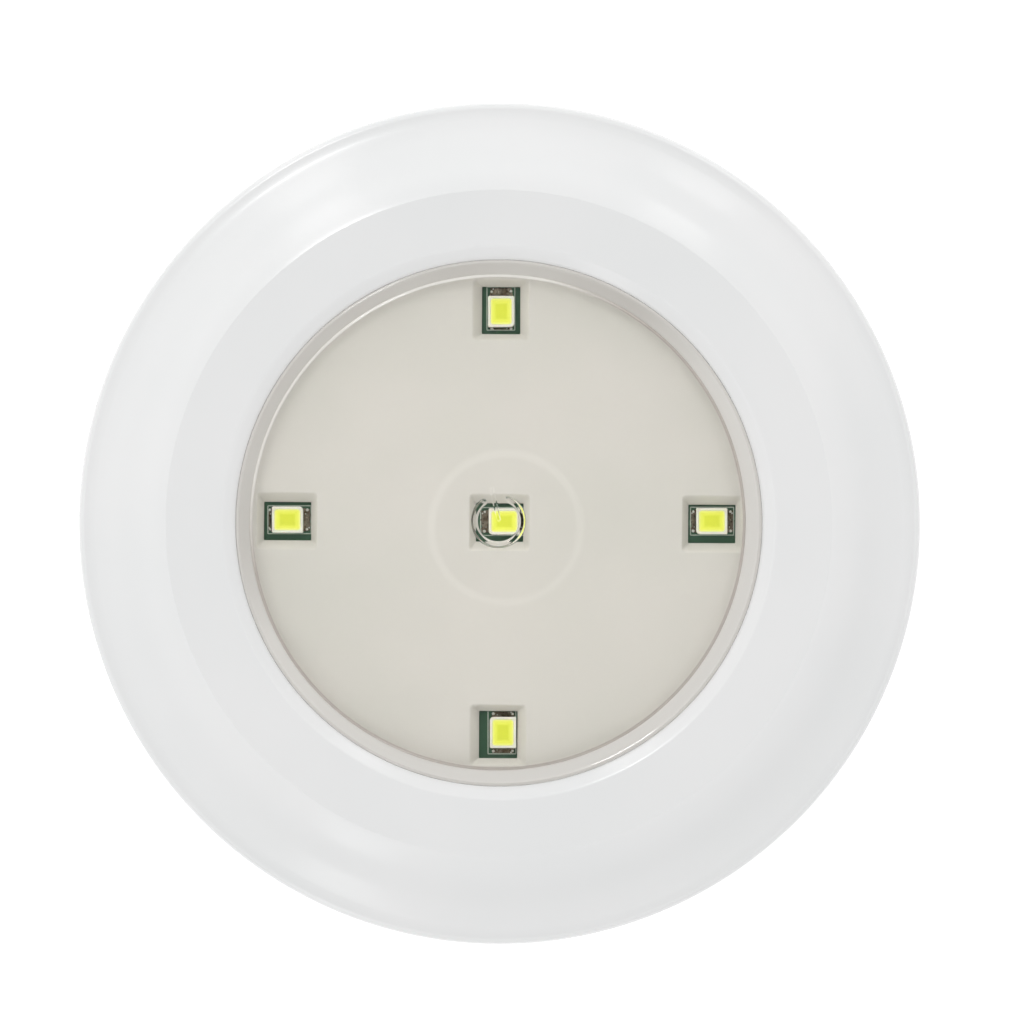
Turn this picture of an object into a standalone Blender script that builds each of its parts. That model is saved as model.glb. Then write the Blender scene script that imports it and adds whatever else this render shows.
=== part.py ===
"""A battery puck light that clicks on when its lens is pressed, in metres, with +Z out of its face.

The mounting plate's back lies on z = 0. The bayonet head turns on the plate, and the lens, the window
plate and the lamp board slide together in the head's bezel and work a push switch.
"""

import math

import bmesh
import bpy
from mathutils import Matrix, Vector

# Clearances and overlaps
FIT_GAP = 0.0003
SEAT_GAP = 0.0001
JOIN = 0.0004
OVERRUN = 0.002
MERGE = 0.0000001

# Battery cells, which lie side by side along Y
CELL_COUNT = 3
CELL_RADIUS = 0.0071
CELL_LENGTH = 0.0502
CELL_SPACING = 0.0011
CELL_BUTTON_RADIUS = 0.0027
CELL_BUTTON_HEIGHT = 0.0011
CELL_EDGE_ROUND = 0.0006
CELL_CORNER_GAP = 0.0005
CELL_FLOOR_GAP = 0.0006
CELL_ROOF_GAP = 0.0005

# Contact plates and springs
CONTACT_THICKNESS = 0.0003
CONTACT_WIDTH = 0.0096
CONTACT_BUMP_RADIUS = 0.0022
CONTACT_BUMP_HEIGHT = 0.0003
CONTACT_EDGE_GAP = 0.0007
TAB_WIDTH = 0.003
TAB_HEIGHT = 0.0024
SPRING_WIRE = 0.0005
SPRING_BASE_RADIUS = 0.003
SPRING_TIP_RADIUS = 0.002
SPRING_TURNS = 2.5
SPRING_POINTS_PER_TURN = 10

# Battery tray
WEB_THICKNESS = 0.0012
WEB_EDGE_GAP = 0.0004
CUP_WALL = 0.0015
END_WALL = 0.0012
CRADLE_THICKNESS = 0.0015
CRADLE_LIFT = 0.003
CRADLE_PLACE_SHARES = (-0.3, 0.0, 0.3)
RIB_INSET = 0.0005
KEEPER_THICKNESS = 0.0006
KEEPER_STEM = 0.002
KEEPER_GRIP = 0.0008
POST_RADIUS = 0.0026
POST_HEIGHT = 0.0003
LEDGE_WIDTH = 0.0025
LEDGE_THICKNESS = 0.0015
LEDGE_SPAN = 17.0
STOP_RISE = 0.0019
STOP_INSET = 0.0003
STOP_SPAN = 2.5

# Mounting plate
PLATE_THICKNESS = 0.002
PLATE_EDGE_CHAMFER = 0.0005
PLATE_RIM = 0.00055
PLATE_EDGE_GAP = 0.0005
BEARING_HEIGHT = 0.0009
BEARING_WIDTH = 0.0012
HOOK_WALL = 0.00135
HOOK_GAP = 0.00035
HOOK_TIP_GAP = 0.0006
HOOK_THICKNESS = 0.0013
LIP_INSET = 0.0002
HOOK_SPAN = 13.0
HOOK_ANGLES = (90.0, 210.0, 330.0)
UNLOCK_TURN = 22.0
MOUNT_HOLE_RADIUS = 0.0018
MOUNT_HOLE_INSET = 0.008
COUNTERSINK_RADIUS = 0.0033

# Front bezel
BEZEL_WALL = 0.0017
BEZEL_BACK_GAP = 0.0008
OPENING_RADIUS = 0.0268
OPENING_FILLET = 0.0015
FACE_WIDTH = 0.00547
RIM_WIDTH = 0.00166
RIM_ROUND = 0.0007
SIDE_DRAFT = 0.00015
SLOPE_END_TILT = 16.0
SLOPE_MIDDLE_TILT = 42.0
SLOPE_STEPS = 8
SLOPE_ROOF_EXTRA = 0.0003
COLLAR_WALL = 0.0015
COLLAR_DEPTH = 0.0053
GUIDE_WIDTH = 0.003
GUIDE_OUTER_WALL = 0.0013
GUIDE_ANGLES = (90.0, 210.0, 330.0)
BOSS_RADIUS = 0.003
BOSS_ANGLES = (30.0, 150.0, 270.0)

# Case screws
SCREW_SHANK_RADIUS = 0.0011
SCREW_TIP_RADIUS = 0.0005
SCREW_TIP_LENGTH = 0.0012
SCREW_SHANK_LENGTH = 0.0055
SCREW_HEAD_RADIUS = 0.0021
SCREW_HEAD_HEIGHT = 0.0015
SCREW_HEAD_ROUND = 0.0007

# Push switch, which hangs under the lamp board
LENS_STROKE = 0.0005
SWITCH_WIDTH = 0.0062
SWITCH_CASE_HEIGHT = 0.0031
SWITCH_CORNER = 0.0005
SWITCH_COVER_THICKNESS = 0.0003
SWITCH_BORE_DEPTH = 0.0018
PLUNGER_RADIUS = 0.0016
PLUNGER_SHOWS = 0.0007
PLUNGER_ROUND = 0.0003
PLUNGER_INSIDE = 0.0008

# Lamp board and what is soldered to it
BOARD_THICKNESS = 0.0012
BOARD_EDGE_INSET = 0.00035
LED_LENGTH = 0.0032
LED_WIDTH = 0.0027
LED_HEIGHT = 0.00075
LED_CORNER = 0.00015
LED_WELL_WALL = 0.0003
LED_WELL_DEPTH = 0.00035
LED_WELL_CORNER = 0.00045
LED_WELL_FLOOR = 0.00005
LED_FILL_GAP = 0.00006
RESISTOR_LENGTH = 0.002
RESISTOR_WIDTH = 0.00125
RESISTOR_HEIGHT = 0.00055
RESISTOR_ROUND = 0.00008
RESISTOR_ANGLES = (20.0, 92.0, 164.0, 236.0, 308.0)
RESISTOR_RING_SHARE = 0.5

# Where the solder let each LED settle, beside the middle of its window
LED_DRIFTS = {
    "centre": (0.00053, 0.00017),
    "left": (0.00006, 0.00035),
    "right": (0.00005, 0.0002),
    "top": (0.00022, -0.00006),
    "bottom": (0.0004, 0.00029),
}
LED_HEADINGS = {"left": 180.0, "right": 0.0, "top": 90.0, "bottom": 270.0}

# Window plate with its snap legs
WINDOW_PLATE_THICKNESS = 0.0012
WINDOW_PLATE_GAP = 0.0002
WINDOW_PLATE_CHAMFER = 0.0002
WINDOW_EDGE = 0.0004
WINDOW_LENGTH = 0.0048
WINDOW_WIDTH = 0.0039
WINDOW_LENGTH_FLARE = 0.0011
WINDOW_WIDTH_FLARE = 0.0018
LEG_ANGLES = (45.0, 135.0, 225.0, 315.0)
LEG_WIDTH = 0.004
LEG_THICKNESS = 0.0014
LEG_WALL_GAP = 0.00095
LEG_FOOT_THICKNESS = 0.0007
LEG_FOOT_REACH = 0.0013
BARB_REACH = 0.00065
BARB_HEIGHT = 0.0007
BARB_RISE = 0.0003

# Lens cap
LENS_THICKNESS = 0.0016
LENS_SINK = 0.0005
LENS_GAP = 0.0003
LENS_EDGE_ROUND = 0.0005
LENS_SKIRT_WALL = 0.00135
FLANGE_THICKNESS = 0.0012
BEAD_HEIGHT = 0.0008
DISH_RADIUS = 0.0079
DISH_DEPTH = 0.0003

# Leads from the contact tabs to the lamp board
LEAD_RADIUS = 0.00055
LEAD_FLOOR_GAP = 0.0006
LEAD_POINTS = 11
LEAD_PAD_SHARE = 0.67
LEAD_PAD_ANGLE = 131.0
LEAD_RUN = 0.0045
LEAD_RISE = 0.0028

# Numbers of sides
BEZEL_SIDES = 84
RING_SIDES = 64
CELL_SIDES = 24
SMALL_SIDES = 14
ARC_STEPS = 4

# Heights, from the wall outwards
plate_top = PLATE_THICKNESS
bearing_top = plate_top + BEARING_HEIGHT
ledge_bottom = bearing_top + FIT_GAP
ledge_top = ledge_bottom + LEDGE_THICKNESS
hook_bottom = ledge_top + FIT_GAP
hook_top = hook_bottom + HOOK_THICKNESS
cell_axis_z = plate_top + CELL_FLOOR_GAP + CELL_RADIUS
web_bottom = cell_axis_z + CELL_RADIUS + CELL_ROOF_GAP
web_top = web_bottom + WEB_THICKNESS
screw_bearing = web_bottom - SEAT_GAP
screw_tip = screw_bearing + SCREW_SHANK_LENGTH
post_top = web_top + POST_HEIGHT
plunger_tip = post_top + FIT_GAP
cover_bottom = plunger_tip + PLUNGER_SHOWS
cover_top = cover_bottom + SWITCH_COVER_THICKNESS
case_bottom = cover_top + SEAT_GAP
case_top = case_bottom + SWITCH_CASE_HEIGHT
board_bottom = case_top + SEAT_GAP
board_top = board_bottom + BOARD_THICKNESS
window_plate_bottom = board_top + FIT_GAP
window_plate_top = window_plate_bottom + WINDOW_PLATE_THICKNESS
lens_underside = window_plate_top + FIT_GAP
lens_top = lens_underside + LENS_THICKNESS
face_z = lens_top + LENS_SINK
collar_bottom = face_z - COLLAR_DEPTH
flange_top = collar_bottom - FIT_GAP
flange_bottom = flange_top - FLANGE_THICKNESS
guide_bottom = flange_bottom - LENS_STROKE - FIT_GAP
lead_z = web_top + LENS_STROKE + LEAD_FLOOR_GAP + LEAD_RADIUS

# Places along the cells
cell_pitch = 2 * CELL_RADIUS + CELL_SPACING
outer_cell_x = cell_pitch * (CELL_COUNT - 1) / 2
spring_room = SPRING_TURNS * 2 * SPRING_WIRE + SPRING_WIRE
contact_face_y = (CELL_LENGTH + CONTACT_BUMP_HEIGHT + 3 * FIT_GAP + spring_room) / 2
cell_tip_y = contact_face_y - CONTACT_BUMP_HEIGHT - FIT_GAP
contact_back_y = contact_face_y + CONTACT_THICKNESS
end_wall_y = contact_back_y + FIT_GAP
contact_edge_x = outer_cell_x + CONTACT_WIDTH / 2

# Radii, from the cells outwards
cell_corner_radius = math.hypot(outer_cell_x + CELL_RADIUS, cell_tip_y - CELL_BUTTON_HEIGHT)
contact_corner_radius = math.hypot(contact_edge_x, contact_back_y)
cup_inner = max(cell_corner_radius, contact_corner_radius) + CELL_CORNER_GAP
cup_outer = cup_inner + CUP_WALL
cup_middle = (cup_inner + cup_outer) / 2
ledge_outer = cup_outer + LEDGE_WIDTH
hook_inner = ledge_outer + HOOK_GAP
hook_outer = hook_inner + HOOK_WALL
plate_radius = hook_outer + PLATE_RIM
bearing_middle = (cup_outer + ledge_outer) / 2
bearing_inner = bearing_middle - BEARING_WIDTH / 2
bearing_outer = bearing_middle + BEARING_WIDTH / 2
mount_hole_x = bearing_inner - MOUNT_HOLE_INSET - COUNTERSINK_RADIUS
bezel_inner = plate_radius + PLATE_EDGE_GAP
body_radius = bezel_inner + BEZEL_WALL
web_radius = bezel_inner - WEB_EDGE_GAP
screw_ring_radius = (cup_outer + bezel_inner) / 2

# Radii, from the lens opening inwards and outwards
face_inner = OPENING_RADIUS + OPENING_FILLET
face_outer = face_inner + FACE_WIDTH
slope_outer = body_radius - RIM_WIDTH
collar_outer = OPENING_RADIUS + COLLAR_WALL
guide_outer = collar_outer + GUIDE_OUTER_WALL
lens_radius = OPENING_RADIUS - LENS_GAP
skirt_inner = lens_radius - LENS_SKIRT_WALL
window_plate_radius = skirt_inner - WINDOW_PLATE_GAP
board_radius = window_plate_radius - BOARD_EDGE_INSET
led_ring_radius = window_plate_radius - WINDOW_EDGE - (WINDOW_LENGTH + WINDOW_LENGTH_FLARE) / 2
leg_outer = skirt_inner - LEG_WALL_GAP
leg_inner = leg_outer - LEG_THICKNESS
barb_outer = leg_outer + BARB_REACH
barb_bottom = board_bottom + BARB_RISE
barb_top = barb_bottom + BARB_HEIGHT
bead_inner = leg_outer + FIT_GAP
bead_top = barb_bottom - FIT_GAP
bead_bottom = bead_top - BEAD_HEIGHT

# Colour, roughness and metallic value of each finish
FINISHES = {
    "white_gloss_plastic": ((0.86, 0.86, 0.84), 0.22, 0.0),
    "white_moulded_plastic": ((0.80, 0.80, 0.78), 0.45, 0.0),
    "clear_lens_plastic": ((0.93, 0.94, 0.93), 0.05, 0.0),
    "warm_grey_plastic": ((0.66, 0.64, 0.57), 0.5, 0.0),
    "green_board": ((0.05, 0.11, 0.065), 0.3, 0.0),
    "led_white_body": ((0.85, 0.82, 0.68), 0.35, 0.0),
    "led_phosphor": ((0.78, 0.80, 0.10), 0.5, 0.0),
    "resistor_black": ((0.03, 0.03, 0.03), 0.4, 0.0),
    "switch_black": ((0.02, 0.02, 0.02), 0.45, 0.0),
    "bright_steel": ((0.75, 0.75, 0.74), 0.25, 1.0),
    "contact_nickel": ((0.72, 0.71, 0.68), 0.3, 1.0),
    "cell_jacket": ((0.16, 0.17, 0.19), 0.35, 0.6),
    "red_wire": ((0.60, 0.02, 0.02), 0.4, 0.0),
    "black_wire": ((0.02, 0.02, 0.02), 0.4, 0.0),
}
TRANSPARENT_FINISH = "clear_lens_plastic"


def clear_scene():
    """Removes every object and the startup collections."""
    for obj in list(bpy.data.objects):
        bpy.data.objects.remove(obj)
    for collection in list(bpy.data.collections):
        bpy.data.collections.remove(collection)


def new_collection(name):
    """A collection in the scene."""
    collection = bpy.data.collections.new(name)
    bpy.context.scene.collection.children.link(collection)
    return collection


def new_object(name, data, collection):
    """An object of this data in the collection."""
    obj = bpy.data.objects.new(name, data)
    collection.objects.link(obj)
    return obj


def weld(mesh):
    """Merges coincident points and turns the faces outwards."""
    shape = bmesh.new()
    shape.from_mesh(mesh)
    bmesh.ops.remove_doubles(shape, verts=shape.verts, dist=MERGE)
    bmesh.ops.recalc_face_normals(shape, faces=shape.faces)
    shape.to_mesh(mesh)
    shape.free()


def realise(obj, collection):
    """A mesh object with what the modifiers or the curve of obj make, in its place and with its name."""
    bpy.context.view_layer.update()
    graph = bpy.context.evaluated_depsgraph_get()
    mesh = bpy.data.meshes.new_from_object(obj.evaluated_get(graph))
    weld(mesh)
    name = obj.name
    place = obj.matrix_world.copy()
    bpy.data.objects.remove(obj)
    mesh.name = name
    made = new_object(name, mesh, collection)
    made.matrix_world = place
    return made


def smooth(obj, angle=30.0):
    """Shades the object smooth, with sharp edges where its faces meet at more than the angle."""
    obj.data.shade_smooth()
    obj.data.set_sharp_from_angle(angle=math.radians(angle))


def finish(obj, name):
    """Gives the object the named finish, as a Principled material."""
    material = bpy.data.materials.get(name)
    if material is None:
        colour, roughness, metallic = FINISHES[name]
        material = bpy.data.materials.new(name)
        material.use_nodes = True
        shader = material.node_tree.nodes["Principled BSDF"]
        shader.inputs["Base Color"].default_value = (*colour, 1.0)
        shader.inputs["Roughness"].default_value = roughness
        shader.inputs["Metallic"].default_value = metallic
        if name == TRANSPARENT_FINISH:
            shader.inputs["Transmission Weight"].default_value = 1.0
    obj.data.materials.clear()
    obj.data.materials.append(material)
    return obj


def arc(centre, radius, start, end, steps=ARC_STEPS):
    """Points of an arc in the outline's plane, both ends included, with angles in degrees."""
    angles = [math.radians(start + (end - start) * step / steps) for step in range(steps + 1)]
    return [(centre[0] + radius * math.cos(a), centre[1] + radius * math.sin(a)) for a in angles]


def turned(name, outline, collection, sides=RING_SIDES, closed=False):
    """Revolves (radius, height) points about Z. A closed outline makes a ring."""
    mesh = bpy.data.meshes.new(name)
    edges = [(i, i + 1) for i in range(len(outline) - 1)]
    if closed:
        edges.append((len(outline) - 1, 0))
    mesh.from_pydata([(radius, 0.0, height) for radius, height in outline], edges, [])
    obj = new_object(name, mesh, collection)
    screw = obj.modifiers.new("Turn", "SCREW")
    screw.steps = sides
    screw.render_steps = sides
    screw.use_merge_vertices = True
    screw.merge_threshold = MERGE
    return realise(obj, collection)


def extruded(name, outline, bottom, top, collection):
    """A flat outline of (x, y) points, thick from bottom to top."""
    curve = bpy.data.curves.new(name, "CURVE")
    curve.dimensions = "2D"
    curve.fill_mode = "BOTH"
    curve.extrude = (top - bottom) / 2
    spline = curve.splines.new("POLY")
    spline.points.add(len(outline) - 1)
    for point, (x, y) in zip(spline.points, outline):
        point.co = (x, y, 0.0, 1.0)
    spline.use_cyclic_u = True
    obj = new_object(name, curve, collection)
    obj.location.z = (bottom + top) / 2
    return realise(obj, collection)


def box(name, low, high, collection, heading=0.0):
    """A box between two corners, turned about the Z axis by the heading in degrees."""
    shape = bmesh.new()
    low, high = Vector(low), Vector(high)
    place = Matrix.Rotation(math.radians(heading), 4, "Z") @ Matrix.Translation((low + high) / 2)
    bmesh.ops.create_cube(shape, size=1.0, matrix=place @ Matrix.Diagonal((*(high - low), 1.0)))
    mesh = bpy.data.meshes.new(name)
    shape.to_mesh(mesh)
    shape.free()
    return new_object(name, mesh, collection)


def flared_box(name, bottom_size, top_size, bottom, top, collection):
    """A box about Z whose length and width change evenly from bottom to top."""
    obj = box(name, (-0.5, -0.5, bottom), (0.5, 0.5, top), collection)
    for vertex in obj.data.vertices:
        length, width = top_size if vertex.co.z > (bottom + top) / 2 else bottom_size
        vertex.co.x *= length
        vertex.co.y *= width
    return obj


def sector(name, inner, outer, bottom, top, start, end, collection):
    """A piece of a flat ring between two radii and two angles in degrees."""
    steps = max(ARC_STEPS, math.ceil(abs(end - start) / LEDGE_SPAN * ARC_STEPS))
    outside = arc((0.0, 0.0), outer, start, end, steps)
    inside = arc((0.0, 0.0), inner, end, start, steps)
    return extruded(name, outside + inside, bottom, top, collection)


def upright(name, outline, width, angle, collection):
    """A prism across a spoke of the light, from an outline of radius and height."""
    prism = extruded(name, outline, -width / 2, width / 2, collection)
    prism.rotation_euler = (math.radians(90.0), 0.0, math.radians(angle))
    return prism


def rounded_rectangle(length, width, corner):
    """The outline of a rectangle about the origin, with round corners."""
    across, along = length / 2 - corner, width / 2 - corner
    outline = []
    for quarter, (sign_x, sign_y) in enumerate(((1, 1), (-1, 1), (-1, -1), (1, -1))):
        start = 90.0 * quarter
        outline += arc((sign_x * across, sign_y * along), corner, start, start + 90.0, ARC_STEPS // 2)
    return outline


def combine(obj, others, operation, collection):
    """Joins the others to the object, cuts them from it or keeps what they share, one after another."""
    for other in others:
        modifier = obj.modifiers.new(operation.title(), "BOOLEAN")
        modifier.operation = operation
        modifier.solver = "EXACT"
        modifier.object = other
        obj = realise(obj, collection)
    return obj


def tube(name, points, radius, resolution, collection):
    """A round wire through the points, with closed ends."""
    curve = bpy.data.curves.new(name, "CURVE")
    curve.dimensions = "3D"
    curve.bevel_depth = radius
    curve.bevel_resolution = resolution
    curve.use_fill_caps = True
    spline = curve.splines.new("POLY")
    spline.points.add(len(points) - 1)
    for point, place in zip(spline.points, points):
        point.co = (*place, 1.0)
    return realise(new_object(name, curve, collection), collection)


def polar(radius, angle, height=0.0):
    """The point at this radius, angle in degrees and height."""
    return Vector((radius * math.cos(math.radians(angle)), radius * math.sin(math.radians(angle)), height))


def copy_of(obj, name, location=(0.0, 0.0, 0.0), heading=0.0):
    """Another object of the same mesh, moved and turned about Z."""
    copy = new_object(name, obj.data, obj.users_collection[0])
    copy.location = location
    copy.rotation_euler.z = math.radians(heading)
    return copy


def slope_points():
    """The bezel's ogee slope, shallow at both ends and steepest halfway, from the flat ring outwards."""
    run = slope_outer - face_outer
    points = [(face_outer, face_z)]
    for step in range(SLOPE_STEPS):
        share = (step + 0.5) / SLOPE_STEPS
        tilt = SLOPE_END_TILT + (SLOPE_MIDDLE_TILT - SLOPE_END_TILT) * math.sin(math.pi * share)
        radius, height = points[-1]
        fall = run / SLOPE_STEPS * math.tan(math.radians(tilt))
        points.append((radius + run / SLOPE_STEPS, height - fall))
    return points


def roof_line(cover):
    """The corners of the bezel's inside, this far under its flat ring and its slope."""
    slope = slope_points()
    gradient = (slope[-1][1] - slope[0][1]) / (slope[-1][0] - slope[0][0])
    below = (cover + SLOPE_ROOF_EXTRA) * math.hypot(1.0, gradient)
    roof = face_z - cover
    corner = face_outer + (roof - (face_z - below)) / gradient
    outer_height = face_z - below + gradient * (bezel_inner - face_outer)
    return (corner, roof), (bezel_inner, outer_height)


def bezel_outline():
    """The closed outline of the bezel's shell: opening, flat ring, slope, rim, side, inside and collar."""
    slope = slope_points()
    rim_z = slope[-1][1]
    side_top = body_radius - SIDE_DRAFT
    corner, wall_top = roof_line(BEZEL_WALL)
    outline = [(OPENING_RADIUS, collar_bottom)]
    outline += arc((face_inner, face_z - OPENING_FILLET), OPENING_FILLET, 180.0, 90.0)
    outline += slope
    outline += arc((side_top - RIM_ROUND, rim_z - RIM_ROUND), RIM_ROUND, 90.0, 0.0, 3)
    outline += [(body_radius, BEZEL_BACK_GAP), (bezel_inner, BEZEL_BACK_GAP)]
    outline += [wall_top, corner, (collar_outer, corner[1]), (collar_outer, collar_bottom)]
    return outline


def make_bezel(parts, cutters):
    """The front shell, with its screw bosses and the guides that keep the lens from turning."""
    bezel = turned("front_bezel", bezel_outline(), parts, BEZEL_SIDES, closed=True)
    corner, wall_top = roof_line(BEZEL_WALL / 2)
    envelope_outline = [(0.0, corner[1]), corner, wall_top, (wall_top[0] + BEZEL_WALL / 2, wall_top[1])]
    envelope_outline += [(wall_top[0] + BEZEL_WALL / 2, 0.0), (0.0, 0.0)]
    added = []
    holes = []
    for number, angle in enumerate(BOSS_ANGLES, 1):
        outline = [(0.0, face_z), (BOSS_RADIUS, face_z), (BOSS_RADIUS, web_top + FIT_GAP)]
        outline.append((0.0, web_top + FIT_GAP))
        boss = turned(f"boss_{number}", outline, cutters, SMALL_SIDES)
        boss.location = polar(screw_ring_radius, angle)
        envelope = turned(f"boss_{number}_envelope", envelope_outline, cutters, BEZEL_SIDES)
        added.append(combine(boss, [envelope], "INTERSECT", cutters))
        holes.append(screw_hole(f"boss_{number}_hole", angle, web_top, screw_tip + FIT_GAP, cutters))
    for number, angle in enumerate(GUIDE_ANGLES, 1):
        low = (OPENING_RADIUS + FIT_GAP, -GUIDE_WIDTH / 2, guide_bottom)
        high = (guide_outer, GUIDE_WIDTH / 2, corner[1])
        added.append(box(f"guide_{number}", low, high, cutters, angle))
    bezel = combine(bezel, added, "UNION", parts)
    bezel = combine(bezel, holes, "DIFFERENCE", parts)
    smooth(bezel)
    return finish(bezel, "white_gloss_plastic")


def screw_hole(name, angle, bottom, top, cutters):
    """A cutter for a case screw's shank."""
    radius = SCREW_SHANK_RADIUS + FIT_GAP / 2
    outline = [(0.0, top), (radius, top), (radius, bottom - OVERRUN), (0.0, bottom - OVERRUN)]
    hole = turned(name, outline, cutters, SMALL_SIDES)
    hole.location = polar(screw_ring_radius, angle)
    return hole


def make_case_screws(parts):
    """The screws that hold the tray to the bezel's bosses, heads towards the wall."""
    head_bottom = screw_bearing - SCREW_HEAD_HEIGHT
    outline = [(0.0, screw_tip), (SCREW_TIP_RADIUS, screw_tip)]
    outline += [(SCREW_SHANK_RADIUS, screw_tip - SCREW_TIP_LENGTH), (SCREW_SHANK_RADIUS, screw_bearing)]
    outline.append((SCREW_HEAD_RADIUS, screw_bearing))
    centre = (SCREW_HEAD_RADIUS - SCREW_HEAD_ROUND, head_bottom + SCREW_HEAD_ROUND)
    outline += arc(centre, SCREW_HEAD_ROUND, 0.0, -90.0, 3)
    outline.append((0.0, head_bottom))
    screw = turned("case_screw_1", outline, parts, SMALL_SIDES)
    smooth(screw)
    finish(screw, "bright_steel")
    screw.location = polar(screw_ring_radius, BOSS_ANGLES[0])
    screws = [screw]
    for number, angle in enumerate(BOSS_ANGLES[1:], 2):
        screws.append(copy_of(screw, f"case_screw_{number}", polar(screw_ring_radius, angle)))
    return screws


def make_lens(parts, cutters):
    """The clear cap: a dished disc, a skirt with beads inside it, and a flange that the collar holds back."""
    dish_steps = ARC_STEPS
    shares = [step / dish_steps for step in range(dish_steps + 1)]
    outline = [(DISH_RADIUS * share, lens_top - DISH_DEPTH * (1 - share**2)) for share in shares]
    centre = (lens_radius - LENS_EDGE_ROUND, lens_top - LENS_EDGE_ROUND)
    outline += arc(centre, LENS_EDGE_ROUND, 90.0, 0.0, 3)
    outline += [(lens_radius, flange_top), (collar_outer, flange_top), (collar_outer, flange_bottom)]
    outline += [(skirt_inner, flange_bottom), (skirt_inner, lens_underside), (0.0, lens_underside)]
    lens = turned("lens_cap", outline, parts)
    cuts = []
    for number, angle in enumerate(GUIDE_ANGLES, 1):
        half = GUIDE_WIDTH / 2 + FIT_GAP
        low = (OPENING_RADIUS, -half, flange_bottom - OVERRUN)
        high = (collar_outer + OVERRUN, half, flange_top + FIT_GAP)
        cuts.append(box(f"flange_notch_{number}", low, high, cutters, angle))
    lens = combine(lens, cuts, "DIFFERENCE", parts)
    root = skirt_inner + JOIN
    bead = [(bead_inner, bead_top), (root, bead_top), (root, bead_bottom)]
    bead.append((bead_inner, (bead_top + bead_bottom) / 2))
    beads = []
    for number, angle in enumerate(LEG_ANGLES, 1):
        beads.append(upright(f"bead_{number}", bead, LEG_WIDTH, angle, cutters))
    lens = combine(lens, beads, "UNION", parts)
    smooth(lens)
    return finish(lens, "clear_lens_plastic")


def window_places():
    """The name, middle and heading in degrees of each window and its LED."""
    places = [("centre", Vector((0.0, 0.0, 0.0)), 0.0)]
    for name, heading in LED_HEADINGS.items():
        places.append((name, polar(led_ring_radius, heading), heading))
    return places


def leg_solid(name, angle, cutters):
    """A snap leg: its foot reaches in under the board, and its barb rests on a bead of the lens's skirt."""
    foot_top = board_bottom - FIT_GAP
    foot_bottom = foot_top - LEG_FOOT_THICKNESS
    foot_inner = leg_inner - LEG_FOOT_REACH
    root = window_plate_bottom + JOIN
    outline = [(foot_inner, foot_bottom), (leg_outer, foot_bottom), (leg_outer, barb_bottom)]
    outline += [(barb_outer, barb_bottom), (barb_outer, barb_top - BARB_HEIGHT / 2), (leg_outer, barb_top)]
    outline += [(leg_outer, root), (leg_inner, root), (leg_inner, foot_top), (foot_inner, foot_top)]
    return upright(name, outline, LEG_WIDTH, angle, cutters)


def make_window_plate(parts, cutters):
    """The plate that lies over the board, with a flared window at each LED and legs that grip the board."""
    rim = window_plate_radius - WINDOW_PLATE_CHAMFER
    outline = [(0.0, window_plate_top), (rim, window_plate_top)]
    outline += [(window_plate_radius, window_plate_top - WINDOW_PLATE_CHAMFER)]
    outline += [(window_plate_radius, window_plate_bottom), (0.0, window_plate_bottom)]
    plate = turned("window_plate", outline, parts)
    legs = [leg_solid(f"leg_{number}", angle, cutters) for number, angle in enumerate(LEG_ANGLES, 1)]
    plate = combine(plate, legs, "UNION", parts)
    plate = combine(plate, window_cutters(cutters), "DIFFERENCE", parts)
    smooth(plate)
    return finish(plate, "warm_grey_plastic")


def window_cutters(cutters):
    """Flared boxes through the window plate, which run on along their own slopes past both faces."""
    past = FIT_GAP / 2
    length_spread = WINDOW_LENGTH_FLARE * past / WINDOW_PLATE_THICKNESS
    width_spread = WINDOW_WIDTH_FLARE * past / WINDOW_PLATE_THICKNESS
    bottom_size = (WINDOW_LENGTH - length_spread, WINDOW_WIDTH - width_spread)
    top_length = WINDOW_LENGTH + WINDOW_LENGTH_FLARE + length_spread
    top_size = (top_length, WINDOW_WIDTH + WINDOW_WIDTH_FLARE + width_spread)
    cuts = []
    for name, place, heading in window_places():
        bottom, top = window_plate_bottom - past, window_plate_top + past
        cut = flared_box(f"window_{name}", bottom_size, top_size, bottom, top, cutters)
        cut.location = place
        cut.rotation_euler.z = math.radians(heading)
        cuts.append(cut)
    return cuts


def make_board(parts, cutters):
    """The round lamp board, notched at its edge for the window plate's legs."""
    outline = [(0.0, board_top), (board_radius, board_top)]
    outline += [(board_radius, board_bottom), (0.0, board_bottom)]
    board = turned("led_board", outline, parts)
    notches = []
    for number, angle in enumerate(LEG_ANGLES, 1):
        half = LEG_WIDTH / 2 + FIT_GAP
        low = (leg_inner - FIT_GAP, -half, board_bottom - OVERRUN)
        high = (board_radius + OVERRUN, half, board_top + OVERRUN)
        notches.append(box(f"board_notch_{number}", low, high, cutters, angle))
    board = combine(board, notches, "DIFFERENCE", parts)
    smooth(board)
    return finish(board, "green_board")


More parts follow.
